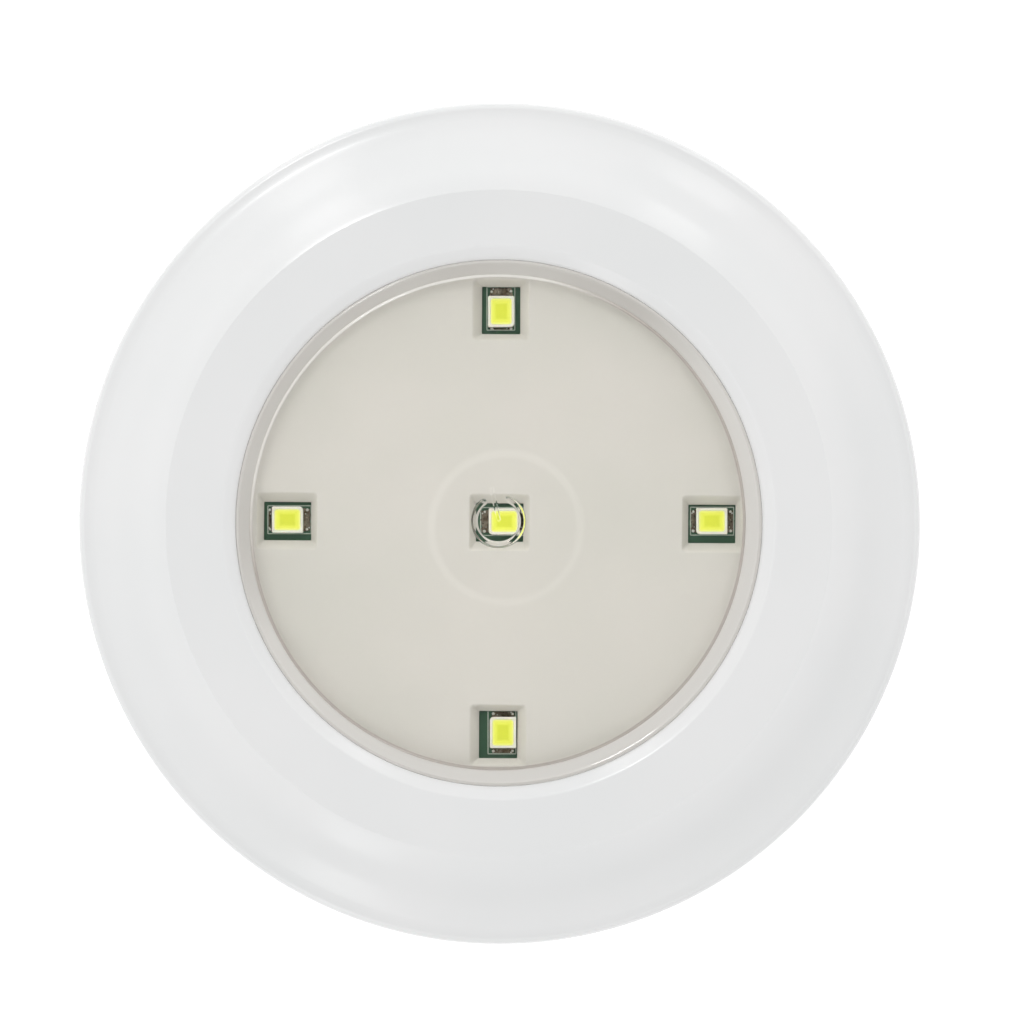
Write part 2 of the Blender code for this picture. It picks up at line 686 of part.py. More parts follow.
def make_leds(parts, cutters):
    """A white LED package with a well at each window, and the phosphor that fills the well."""
    bottom = board_top + SEAT_GAP
    top = bottom + LED_HEIGHT
    well_length = LED_LENGTH - 2 * LED_WELL_WALL
    well_width = LED_WIDTH - 2 * LED_WELL_WALL
    well_outline = rounded_rectangle(well_length, well_width, LED_WELL_CORNER)
    well = extruded("led_well", well_outline, top - LED_WELL_DEPTH, top + OVERRUN, cutters)
    package_outline = rounded_rectangle(LED_LENGTH, LED_WIDTH, LED_CORNER)
    package = extruded("led_blank", package_outline, bottom, top, parts)
    package = combine(package, [well], "DIFFERENCE", parts)
    smooth(package)
    finish(package, "led_white_body")
    fill_corner = LED_WELL_CORNER - LED_FILL_GAP
    fill_length, fill_width = well_length - 2 * LED_FILL_GAP, well_width - 2 * LED_FILL_GAP
    fill_outline = rounded_rectangle(fill_length, fill_width, fill_corner)
    floor = top - LED_WELL_DEPTH + LED_WELL_FLOOR
    phosphor = extruded("phosphor_blank", fill_outline, floor, top - LED_WELL_FLOOR, parts)
    smooth(phosphor)
    finish(phosphor, "led_phosphor")
    made = []
    for name, place, heading in window_places():
        drift = Vector((*LED_DRIFTS[name], 0.0))
        middle = place + drift
        made.append(copy_of(package, f"led_package_{name}", middle, heading))
        fill = copy_of(phosphor, f"led_phosphor_{name}", middle, heading)
        fill.location.z = phosphor.location.z
        made[-1].location.z = package.location.z
        made.append(fill)
    bpy.data.objects.remove(package)
    bpy.data.objects.remove(phosphor)
    return made


def make_resistors(parts):
    """One chip resistor for each LED, under the board."""
    made = []
    top = board_bottom - SEAT_GAP
    for number, angle in enumerate(RESISTOR_ANGLES, 1):
        half_length, half_width = RESISTOR_LENGTH / 2, RESISTOR_WIDTH / 2
        low, high = (-half_length, -half_width, top - RESISTOR_HEIGHT), (half_length, half_width, top)
        chip = box(f"chip_resistor_{number}", low, high, parts)
        bevel = chip.modifiers.new("Round", "BEVEL")
        bevel.width = RESISTOR_ROUND
        bevel.segments = 1
        chip.location = polar(board_radius * RESISTOR_RING_SHARE, angle)
        chip.rotation_euler.z = math.radians(angle)
        made.append(finish(chip, "resistor_black"))
    return made


def make_switch(parts, cutters):
    """The push switch under the board: its case, its cover and the plunger that the tray's post works."""
    bore_radius = PLUNGER_RADIUS + FIT_GAP
    bore_outline = [(0.0, case_bottom + SWITCH_BORE_DEPTH), (bore_radius, case_bottom + SWITCH_BORE_DEPTH)]
    bore_outline += [(bore_radius, cover_bottom - OVERRUN), (0.0, cover_bottom - OVERRUN)]
    square = rounded_rectangle(SWITCH_WIDTH, SWITCH_WIDTH, SWITCH_CORNER)
    made = []
    for name, bottom, top, look in (
        ("switch_case", case_bottom, case_top, "switch_black"),
        ("switch_cover", cover_bottom, cover_top, "bright_steel"),
    ):
        piece = extruded(name, square, bottom, top, parts)
        bore = turned(f"{name}_bore", bore_outline, cutters, SMALL_SIDES)
        piece = combine(piece, [bore], "DIFFERENCE", parts)
        smooth(piece)
        made.append(finish(piece, look))
    plunger_top = case_bottom + PLUNGER_INSIDE
    outline = [(0.0, plunger_top), (PLUNGER_RADIUS, plunger_top)]
    centre = (PLUNGER_RADIUS - PLUNGER_ROUND, plunger_tip + PLUNGER_ROUND)
    outline += arc(centre, PLUNGER_ROUND, 0.0, -90.0, 2)
    outline.append((0.0, plunger_tip))
    plunger = turned("switch_plunger", outline, parts, SMALL_SIDES)
    smooth(plunger)
    return made, finish(plunger, "white_moulded_plastic")


def cell_places():
    """The x of each cell, and 1 where its button points along +Y or -1 where it points along -Y."""
    return [(cell_pitch * number - outer_cell_x, 1 - 2 * (number % 2)) for number in range(CELL_COUNT)]


def make_cells(parts):
    """The battery cells, turned head to tail so that they work in series."""
    shoulder = cell_tip_y - CELL_BUTTON_HEIGHT
    tail = cell_tip_y - CELL_LENGTH
    edge = CELL_RADIUS - CELL_EDGE_ROUND
    outline = [(0.0, cell_tip_y), (CELL_BUTTON_RADIUS, cell_tip_y), (CELL_BUTTON_RADIUS, shoulder)]
    outline += arc((edge, shoulder - CELL_EDGE_ROUND), CELL_EDGE_ROUND, 90.0, 0.0, 2)
    outline += arc((edge, tail + CELL_EDGE_ROUND), CELL_EDGE_ROUND, 0.0, -90.0, 2)
    outline.append((0.0, tail))
    blank = turned("cell_blank", outline, parts, CELL_SIDES)
    smooth(blank)
    finish(blank, "cell_jacket")
    made = []
    for number, (x, way) in enumerate(cell_places(), 1):
        cell = copy_of(blank, f"battery_cell_{number}", (x, 0.0, cell_axis_z))
        cell.rotation_euler.x = math.radians(-90.0 * way)
        made.append(cell)
    bpy.data.objects.remove(blank)
    return made


def contact_plate(name, x_from, x_to, way, bump_x, tab_x, parts, cutters):
    """A flat contact across one or two cells, on the +Y side where way is 1 and the -Y side for -1."""
    y_face, y_back = sorted((way * contact_face_y, way * contact_back_y))
    half = CONTACT_WIDTH / 2
    bottom = cell_axis_z - half
    top = web_bottom - CONTACT_EDGE_GAP
    plate = box(name, (x_from - half, y_face, bottom), (x_to + half, y_back, top), parts)
    added = []
    if tab_x is not None:
        low = (tab_x - TAB_WIDTH / 2, y_face, top - JOIN)
        high = (tab_x + TAB_WIDTH / 2, y_back, web_top + TAB_HEIGHT)
        added.append(box(f"{name}_tab", low, high, cutters))
    if bump_x is not None:
        root = CONTACT_BUMP_RADIUS
        outline = [(0.0, CONTACT_BUMP_HEIGHT), (root / 2, CONTACT_BUMP_HEIGHT), (root, 0.0)]
        outline += [(root, -CONTACT_THICKNESS / 2), (0.0, -CONTACT_THICKNESS / 2)]
        bump = turned(f"{name}_bump", outline, cutters, SMALL_SIDES)
        bump.location = (bump_x, way * contact_face_y, cell_axis_z)
        bump.rotation_euler.x = math.radians(90.0 * way)
        added.append(bump)
    plate = combine(plate, added, "UNION", parts)
    return finish(plate, "contact_nickel")


def make_contacts(parts, cutters):
    """The four contact plates that put the cells in series."""
    left, middle, right = (x for x, _ in cell_places())
    return [
        contact_plate("contact_positive", left, left, 1, left, left, parts, cutters),
        contact_plate("contact_link_upper", middle, right, 1, right, None, parts, cutters),
        contact_plate("contact_link_lower", left, middle, -1, middle, None, parts, cutters),
        contact_plate("contact_negative", right, right, -1, None, right, parts, cutters),
    ]


def spring_points():
    """The middle line of a conical contact spring, from its wide end at the plate along +Z."""
    count = round(SPRING_TURNS * SPRING_POINTS_PER_TURN)
    cell_end = CELL_LENGTH - cell_tip_y
    length = contact_face_y - cell_end - 2 * FIT_GAP - SPRING_WIRE
    points = []
    for step in range(count + 1):
        share = step / count
        radius = SPRING_BASE_RADIUS + (SPRING_TIP_RADIUS - SPRING_BASE_RADIUS) * share
        points.append(polar(radius, 360.0 * SPRING_TURNS * share, length * share))
    return points


def least_gap(points, wire):
    """The least gap between a coil's turns, measured between points more than half a turn apart."""
    apart = SPRING_POINTS_PER_TURN // 2 + 1
    pairs = [(a, b) for i, a in enumerate(points) for b in points[i + apart :]]
    return min((a - b).length for a, b in pairs) - wire


def make_springs(parts):
    """A conical spring between each cell's flat end and its contact plate."""
    points = spring_points()
    print(f"least gap between a contact spring's turns: {least_gap(points, SPRING_WIRE) * 1000:.2f} mm")
    blank = tube("spring_blank", points, SPRING_WIRE / 2, 1, parts)
    smooth(blank, 60.0)
    finish(blank, "contact_nickel")
    made = []
    for number, (x, way) in enumerate(cell_places(), 1):
        start = contact_face_y - FIT_GAP - SPRING_WIRE / 2
        spring = copy_of(blank, f"contact_spring_{number}", (x, -way * start, cell_axis_z))
        spring.rotation_euler.x = math.radians(-90.0 * way)
        made.append(spring)
    bpy.data.objects.remove(blank)
    return made


def chord_half(radius, y):
    """Half the chord of a circle at this distance from its middle."""
    return math.sqrt(radius**2 - y**2)


def cradle_solids(cutters):
    """Cross ribs under the tray's web, scalloped to the cells."""
    ribs = []
    for number, share in enumerate(CRADLE_PLACE_SHARES, 1):
        y = share * CELL_LENGTH
        reach = chord_half(cup_middle, abs(y) + CRADLE_THICKNESS / 2)
        low = (-reach, y - CRADLE_THICKNESS / 2, cell_axis_z + CRADLE_LIFT)
        rib = box(f"cradle_{number}", low, (reach, y + CRADLE_THICKNESS / 2, web_bottom + JOIN), cutters)
        scallops = []
        for cell_number, (x, _) in enumerate(cell_places(), 1):
            radius, reach_y = CELL_RADIUS + FIT_GAP, CELL_LENGTH
            outline = [(0.0, reach_y), (radius, reach_y), (radius, -reach_y), (0.0, -reach_y)]
            scallop = turned(f"scallop_{number}_{cell_number}", outline, cutters, CELL_SIDES)
            scallop.location = (x, 0.0, cell_axis_z)
            scallop.rotation_euler.x = math.radians(90.0)
            scallops.append(scallop)
        ribs.append(combine(rib, scallops, "DIFFERENCE", cutters))
    return ribs


def end_wall_solids(way, cutters):
    """One end of the battery compartment: its wall, and the keepers in front of the contact plates."""
    side = "upper" if way > 0 else "lower"
    heading = 0.0 if way > 0 else 180.0
    bottom = ledge_bottom + RIB_INSET
    wall_top = web_bottom + JOIN
    wall_reach = chord_half(cup_middle, end_wall_y + END_WALL / 2)
    wall_back = end_wall_y + END_WALL
    low, high = (-wall_reach, end_wall_y, bottom), (wall_reach, wall_back, wall_top)
    solids = [box(f"end_wall_{side}", low, high, cutters, heading)]
    keeper_back = contact_face_y - FIT_GAP
    keeper_face = keeper_back - KEEPER_THICKNESS
    post_x = -(outer_cell_x / 2)
    stem_low = (post_x - KEEPER_STEM / 2, keeper_face + KEEPER_THICKNESS / 2, bottom)
    stem_high = (post_x + KEEPER_STEM / 2, end_wall_y + JOIN, wall_top)
    solids.append(box(f"keeper_stem_{side}", stem_low, stem_high, cutters, heading))
    head_half = (cell_pitch - CONTACT_WIDTH) / 2 + KEEPER_GRIP
    head_low = (post_x - head_half, keeper_face, bottom)
    head_high = (post_x + head_half, keeper_back, wall_top)
    solids.append(box(f"keeper_head_{side}", head_low, head_high, cutters, heading))
    lip_reach = chord_half(cup_middle, keeper_back)
    for name, sign in (("left", -1), ("right", 1)):
        x_low, x_high = sorted((sign * (contact_edge_x - KEEPER_GRIP), sign * lip_reach))
        low, high = (x_low, keeper_face, bottom), (x_high, keeper_back, wall_top)
        solids.append(box(f"lip_{side}_{name}", low, high, cutters, heading))
    return solids


def bayonet_solids(cutters):
    """The tray's ledges, which the plate's hooks hold down, and the stops at both ends of the turn."""
    gap_angle = math.degrees(FIT_GAP / ledge_outer)
    root = cup_outer - JOIN
    stop_outer = ledge_outer - STOP_INSET
    stop_bottom, stop_top = ledge_bottom + STOP_INSET, ledge_top + STOP_RISE
    solids = []
    for number, angle in enumerate(HOOK_ANGLES, 1):
        ledge = (root, ledge_outer, ledge_bottom, ledge_top)
        ends = (angle - LEDGE_SPAN / 2, angle + LEDGE_SPAN / 2)
        solids.append(sector(f"ledge_{number}", *ledge, *ends, cutters))
        lock = angle + HOOK_SPAN / 2 + gap_angle
        unlock = angle - HOOK_SPAN / 2 - UNLOCK_TURN - gap_angle
        for name, low, high in (("lock", lock, lock + STOP_SPAN), ("unlock", unlock - STOP_SPAN, unlock)):
            stop = (root - STOP_INSET, stop_outer, stop_bottom, stop_top)
            solids.append(sector(f"{name}_stop_{number}", *stop, low, high, cutters))
    return solids


def make_tray(parts, cutters):
    """The battery tray: a round cup under a web, with cell cradles, contact keepers and bayonet ledges."""
    outline = [(0.0, post_top), (POST_RADIUS - POST_HEIGHT, post_top), (POST_RADIUS, web_top)]
    outline += [(web_radius, web_top), (web_radius, web_bottom), (cup_outer, web_bottom)]
    outline += [(cup_outer, ledge_bottom), (cup_inner, ledge_bottom)]
    outline += [(cup_inner, web_bottom), (0.0, web_bottom)]
    tray = turned("battery_tray", outline, parts)
    added = cradle_solids(cutters) + end_wall_solids(1, cutters) + end_wall_solids(-1, cutters)
    added += bayonet_solids(cutters)
    tray = combine(tray, added, "UNION", parts)
    holes = [
        screw_hole(f"web_hole_{number}", angle, web_bottom, web_top + OVERRUN, cutters)
        for number, angle in enumerate(BOSS_ANGLES, 1)
    ]
    for way, name in ((1, "positive"), (-1, "negative")):
        low = (-outer_cell_x - TAB_WIDTH / 2 - FIT_GAP, contact_face_y - FIT_GAP, web_bottom - JOIN)
        high = (-outer_cell_x + TAB_WIDTH / 2 + FIT_GAP, contact_back_y + FIT_GAP, web_top + OVERRUN)
        holes.append(box(f"tab_slot_{name}", low, high, cutters, 0.0 if way > 0 else 180.0))
    tray = combine(tray, holes, "DIFFERENCE", parts)
    smooth(tray)
    return finish(tray, "white_moulded_plastic")


def bezier(start, leave, arrive, end, count):
    """Points along a smooth curve from start to end."""
    points = []
    for step in range(count):
        share = step / (count - 1)
        rest = 1 - share
        near = rest**3 * start + 3 * rest**2 * share * leave
        far = 3 * rest * share**2 * arrive + share**3 * end
        points.append(near + far)
    return points


def make_leads(parts):
    """The two insulated leads, each from a contact's tab to the underside of the board."""
    tab = Vector((-outer_cell_x, contact_face_y - FIT_GAP, lead_z))
    pad = polar(board_radius * LEAD_PAD_SHARE, LEAD_PAD_ANGLE, board_bottom - FIT_GAP)
    leave = tab - Vector((0.0, LEAD_RUN, 0.0))
    arrive = pad - Vector((0.0, 0.0, LEAD_RISE))
    red = tube("lead_red", bezier(tab, leave, arrive, pad, LEAD_POINTS), LEAD_RADIUS, 2, parts)
    smooth(red, 60.0)
    black = new_object("lead_black", red.data.copy(), parts)
    black.rotation_euler.z = math.pi
    return [finish(red, "red_wire"), finish(black, "black_wire")]


def hook_solids(cutters):
    """The mounting plate's hooks: a curved post with a lip that reaches in over the tray's ledge."""
    post = (hook_inner, hook_outer, plate_top - JOIN, hook_top)
    lip = (cup_outer + HOOK_TIP_GAP, hook_inner + JOIN, hook_bottom, hook_top - LIP_INSET)
    inset_angle = math.degrees(LIP_INSET / hook_inner)
    solids = []
    for number, angle in enumerate(HOOK_ANGLES, 1):
        start, end = angle - HOOK_SPAN / 2, angle + HOOK_SPAN / 2
        solids.append(sector(f"hook_post_{number}", *post, start, end, cutters))
        lip_ends = (start + inset_angle, end - inset_angle)
        solids.append(sector(f"hook_lip_{number}", *lip, *lip_ends, cutters))
    return solids


def make_mounting_plate(parts, cutters):
    """The back plate that is screwed to the wall, with its bearing ring, hooks and countersunk holes."""
    outline = [(0.0, plate_top), (bearing_inner, plate_top), (bearing_inner, bearing_top)]
    outline += [(bearing_outer, bearing_top), (bearing_outer, plate_top)]
    outline += [(plate_radius, plate_top), (plate_radius, PLATE_EDGE_CHAMFER)]
    outline += [(plate_radius - PLATE_EDGE_CHAMFER, 0.0), (0.0, 0.0)]
    plate = turned("mounting_plate", outline, parts)
    plate = combine(plate, hook_solids(cutters), "UNION", parts)
    flare = COUNTERSINK_RADIUS - MOUNT_HOLE_RADIUS
    hole_outline = [(0.0, plate_top + OVERRUN), (COUNTERSINK_RADIUS + OVERRUN, plate_top + OVERRUN)]
    hole_outline += [(MOUNT_HOLE_RADIUS, plate_top - flare), (MOUNT_HOLE_RADIUS, -OVERRUN), (0.0, -OVERRUN)]
    holes = []
    for name, sign in (("left", -1), ("right", 1)):
        hole = turned(f"mount_hole_{name}", hole_outline, cutters, SMALL_SIDES)
        hole.location.x = sign * mount_hole_x
        holes.append(hole)
    plate = combine(plate, holes, "DIFFERENCE", parts)
    smooth(plate)
    return finish(plate, "white_moulded_plastic")


def put_on_axis(name, height, pieces, parent, collection):
    """An empty on the light's axis that carries the pieces, so that they move as one body."""
    carrier = new_object(name, None, collection)
    carrier.location.z = height
    if parent is not None:
        carrier.parent = parent
        carrier.location.z -= parent.location.z
    bpy.context.view_layer.update()
    for piece in pieces:
        piece.parent = carrier
        piece.matrix_parent_inverse = carrier.matrix_world.inverted()
    return carrier


def main():
    """Builds every piece and hangs it on the empty of the body that it moves with."""
    clear_scene()
    parts = new_collection("puck_light")
    cutters = new_collection("cutters")
    bezel = make_bezel(parts, cutters)
    tray = make_tray(parts, cutters)
    make_mounting_plate(parts, cutters)
    engine = [make_lens(parts, cutters), make_window_plate(parts, cutters), make_board(parts, cutters)]
    engine += make_leds(parts, cutters) + make_resistors(parts) + make_leads(parts)
    switch, plunger = make_switch(parts, cutters)
    engine += switch
    head = [bezel, tray] + make_case_screws(parts) + make_cells(parts)
    head += make_contacts(parts, cutters) + make_springs(parts)
    head_carrier = put_on_axis("head_turn_axis", ledge_bottom, head, None, parts)
    engine_carrier = put_on_axis("lens_press_axis", lens_top, engine, head_carrier, parts)
    put_on_axis("switch_axis", plunger_tip, [plunger], engine_carrier, parts)
    for helper in cutters.objects:
        helper.hide_render = True
        helper.display_type = "WIRE"
    print(f"body {body_radius * 2000:.2f} mm across and {face_z * 1000:.2f} mm high")


main()
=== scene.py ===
"""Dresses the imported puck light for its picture.

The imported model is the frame. Each class here makes one sub-assembly of the light and dresses it. Lengths
are millimetres on the light's own axes: X is right in the picture, Y is up in it, and Z points out of the
wall, from the back of the mounting plate. Angles are degrees from +X towards +Y, and a tilt is a slope's
fall in degrees.
"""

from __future__ import annotations

import logging
import math
from collections.abc import Callable, Sequence
from dataclasses import dataclass, field
from enum import Enum, IntEnum
from functools import cache

import bmesh
import bpy
from mathutils import Euler, Matrix, Vector, noise

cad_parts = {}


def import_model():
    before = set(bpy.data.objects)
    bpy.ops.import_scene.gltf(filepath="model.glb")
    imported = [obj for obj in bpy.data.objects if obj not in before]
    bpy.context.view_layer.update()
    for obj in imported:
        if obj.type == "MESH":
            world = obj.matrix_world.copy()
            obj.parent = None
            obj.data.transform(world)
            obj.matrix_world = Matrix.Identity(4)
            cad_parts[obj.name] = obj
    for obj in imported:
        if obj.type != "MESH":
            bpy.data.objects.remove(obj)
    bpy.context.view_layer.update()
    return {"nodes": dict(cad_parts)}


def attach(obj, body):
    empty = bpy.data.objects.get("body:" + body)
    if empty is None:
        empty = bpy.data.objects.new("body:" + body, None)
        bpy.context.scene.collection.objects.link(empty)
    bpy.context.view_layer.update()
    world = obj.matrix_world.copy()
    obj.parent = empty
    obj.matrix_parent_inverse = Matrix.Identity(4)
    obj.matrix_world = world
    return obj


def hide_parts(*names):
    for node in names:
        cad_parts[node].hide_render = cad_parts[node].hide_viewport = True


Colour = tuple[float, float, float]
Flat = tuple[float, float]
Point = tuple[float, float, float]
Row = list[bmesh.types.BMVert]
Radius = float | Callable[[float], float]
Nodes = dict[str, bpy.types.Object]
Socket = bpy.types.NodeSocket

MM = 0.001
WHITE = (1.0, 1.0, 1.0, 1.0)

# Width of one band of the wave texture at a scale of 1.
WAVE_PERIOD = math.pi / 10
# Points of a mesh that are nearer to each other than this become one.
MERGE_DISTANCE = 0.00001
# The rounds on the CAD nodes: their segments, and the least angle between faces that gets one.
ROUND_SEGMENTS = 2
ROUND_ANGLE = 40.0
# What the phosphor's mesh carries for its colour: how far a point is over the die, and how near the wall.
PHOSPHOR_DEPTHS = ("over_die", "at_wall")

log = logging.getLogger("puck_light")


def shade(red: int, green: int, blue: int) -> Colour:
    """Turns a screen colour into the linear colour that the shaders take.

    Args:
        red: Red on the screen, from 0 to 255.
        green: Green on the screen, from 0 to 255.
        blue: Blue on the screen, from 0 to 255.

    Returns:
        The linear colour.
    """
    shares = [channel / 255 for channel in (red, green, blue)]
    linear = [s / 12.92 if s <= 0.04045 else ((s + 0.055) / 1.055) ** 2.4 for s in shares]
    return linear[0], linear[1], linear[2]


def polar(radius: float, angle: float, centre: Flat = (0.0, 0.0)) -> Flat:
    """Returns the point at a radius from a centre, at an angle in degrees from +X towards +Y."""
    turn = math.radians(angle)
    return centre[0] + radius * math.cos(turn), centre[1] + radius * math.sin(turn)


def arc(centre: Flat, radius: float, start: float, end: float, steps: int) -> list[Flat]:
    """Returns the points along an arc between two angles in degrees, both ends included."""
    return [polar(radius, start + (end - start) * step / steps, centre) for step in range(steps + 1)]


def round_oblong(length: float, width: float, corners: Sequence[float], steps: int = 6) -> list[Flat]:
    """Lays out a rectangle about the origin with round corners.

    Args:
        length: Size along X.
        width: Size along Y.
        corners: Radius of each corner, from the one at +X +Y, turning left.
        steps: Chords in each corner.

    Returns:
        The outline, turning left, with the same number of points for any sizes.
    """
    outline: list[Flat] = []
    for quarter, (side_x, side_y) in enumerate(((1, 1), (-1, 1), (-1, -1), (1, -1))):
        corner = corners[quarter % len(corners)]
        middle = (side_x * (length / 2 - corner), side_y * (width / 2 - corner))
        outline += arc(middle, corner, 90.0 * quarter, 90.0 * (quarter + 1), steps)
    return outline


def soft_step(value: float, low: float, high: float) -> float:
    """Returns a share that rises smoothly from 0 for a value at low to 1 for a value at high."""
    share = min(max((value - low) / (high - low), 0.0), 1.0)
    return share * share * (3 - 2 * share)


def falling(start: Flat, run: float, tilts: Sequence[float]) -> list[Flat]:
    """Lays points down a slope that is given by its tilts.

    Args:
        start: Radius and height of the first point.
        run: Step in radius from point to point, negative inwards.
        tilts: Tilt of each stretch.

    Returns:
        The points, from the first one down.
    """
    points = [start]
    for tilt in tilts:
        radius, height = points[-1]
        points.append((radius + run, height - abs(run) * math.tan(math.radians(tilt))))
    return points


class Grain(Enum):
    """The fine surface that a finish carries."""

    SPARKED = "fine matt grain of a spark-eroded mould"
    POLISHED = "slow waves of a polished mould"
    BRUSHED = "lines of rolled or brushed metal"
    WOVEN = "glass cloth under a thin mask"
    CAST = "crystals of set solder"


class Layout:
    """Lays out nodes in the node tree of a material or of the room."""

    def __init__(self, owner: bpy.types.ID, place: str) -> None:
        """Starts on an owner's tree.

        Args:
            owner: A material or a world.
            place: Blender's name for the coordinates that the nodes use.
        """
        owner.use_nodes = True
        self.tree = owner.node_tree
        self.place = self.add("ShaderNodeTexCoord").outputs[place]

    def add(self, kind: str, **settings: object) -> bpy.types.Node:
        """Adds a node.

        Args:
            kind: The node's type name.
            **settings: Properties to set on it.

        Returns:
            The node.
        """
        node = self.tree.nodes.new(kind)
        for name, value in settings.items():
            setattr(node, name, value)
        return node

    def feed(self, socket: Socket, value: object) -> None:
        """Links a socket to another, or sets it to a plain value.

        Args:
            socket: The input to feed.
            value: An output socket or a plain value.
        """
        if isinstance(value, bpy.types.NodeSocket):
            self.tree.links.new(value, socket)
        else:
            socket.default_value = value

    def axes(self) -> bpy.types.NodeOutputs:
        """Splits the coordinates.

        Returns:
            The sockets of X, Y and Z, by name.
        """
        parts = self.add("ShaderNodeSeparateXYZ")
        self.feed(parts.inputs[0], self.place)
        return parts.outputs

    def sum(self, first: object, second: object, operation: str = "ADD") -> Socket:
        """Works out one sum of two values.

        Args:
            first: A socket or a number.
            second: A socket or a number.
            operation: Blender's name for the sum.

        Returns:
            The result's socket.
        """
        node = self.add("ShaderNodeMath", operation=operation)
        self.feed(node.inputs[0], first)
        self.feed(node.inputs[1], second)
        return node.outputs[0]

    def spread(self, value: object, low: float, high: float, start: float = 0.3, end: float = 0.7,
               rise: str = "LINEAR") -> Socket:
        """Stretches a value onto a range.

        Args:
            value: The socket to stretch.
            low: Result at the start.
            high: Result at the end.
            start: Value where the range starts.
            end: Value where it ends.
            rise: Blender's name for the way between the ends.

        Returns:
            The stretched value's socket.
        """
        node = self.add("ShaderNodeMapRange", interpolation_type=rise)
        self.feed(node.inputs["Value"], value)
        for name, number in (("From Min", start), ("From Max", end), ("To Min", low), ("To Max", high)):
            node.inputs[name].default_value = number
        return node.outputs["Result"]

    def blend(self, share: object, first: object, second: object) -> Socket:
        """Blends two colours.

        Args:
            share: How much of the second colour, as a socket or a number.
            first: A colour or its socket.
            second: A colour or its socket.

        Returns:
            The blended colour's socket.
        """
        node = self.add("ShaderNodeMix", data_type="RGBA")
        self.feed(node.inputs[0], share)
        for number, colour in ((6, first), (7, second)):
            self.feed(node.inputs[number], (*colour, 1.0) if isinstance(colour, tuple) else colour)
        return node.outputs[2]


class Bench(Layout):
    """Lays out the nodes of one finish."""

    def __init__(self, name: str) -> None:
        """Starts a material.

        Args:
            name: The material's name.
        """
        self.material = bpy.data.materials.new(name)
        super().__init__(self.material, "Object")
        self.shader = self.tree.nodes["Principled BSDF"]

    def texture(self, kind: str, size: float, place: Socket | None = None,
                **settings: object) -> bpy.types.Node:
        """Adds a texture.

        Args:
            kind: The node's type name.
            size: Size of its features in millimetres.
            place: Where it is read, if not on the object's own axes.
            **settings: Properties to set on it.

        Returns:
            The texture's node.
        """
        node = self.add(kind, **settings)
        self.feed(node.inputs["Vector"], place or self.place)
        node.inputs["Scale"].default_value = 1 / (size * MM)
        return node

    def noise(self, size: float, detail: float = 2.0, stretch: Point = (1.0, 1.0, 1.0)) -> Socket:
        """Adds a cloud of noise on the object's own axes.

        Args:
            size: Size of its patches in millimetres.
            detail: Octaves of finer noise.
            stretch: How many times finer it is along each axis.

        Returns:
            Its value, about 0.5 in the middle.
        """
        mapping = self.add("ShaderNodeMapping")
        self.feed(mapping.inputs["Vector"], self.place)
        mapping.inputs["Scale"].default_value = stretch
        cloud = self.texture("ShaderNodeTexNoise", size, mapping.outputs["Vector"])
        cloud.inputs["Detail"].default_value = detail
        return cloud.outputs[0]

    def cells(self, size: float) -> Socket:
        """Adds crystals of one size in millimetres, and returns their distance value."""
        return self.texture("ShaderNodeTexVoronoi", size).outputs["Distance"]

    def threads(self, size: float, along: str, waver: float = 0.6) -> Socket:
        """Adds round threads.

        Args:
            size: Their width in millimetres.
            along: The axis that they lie across.
            waver: How far they stray from a straight line.

        Returns:
            Their height, from 0 to 1.
        """
        wave = self.texture("ShaderNodeTexWave", size / WAVE_PERIOD, wave_type="BANDS",
                            bands_direction=along)
        wave.inputs["Distortion"].default_value = waver
        return wave.outputs["Fac"]

    def relief(self, height: Socket, depth: float) -> None:
        """Presses a height into the surface.

        Args:
            height: The relief, from 0 to 1.
            depth: Its depth in millimetres.
        """
        bump = self.add("ShaderNodeBump")
        bump.inputs["Distance"].default_value = depth * MM
        self.feed(bump.inputs["Height"], height)
        self.feed(self.shader.inputs["Normal"], bump.outputs["Normal"])


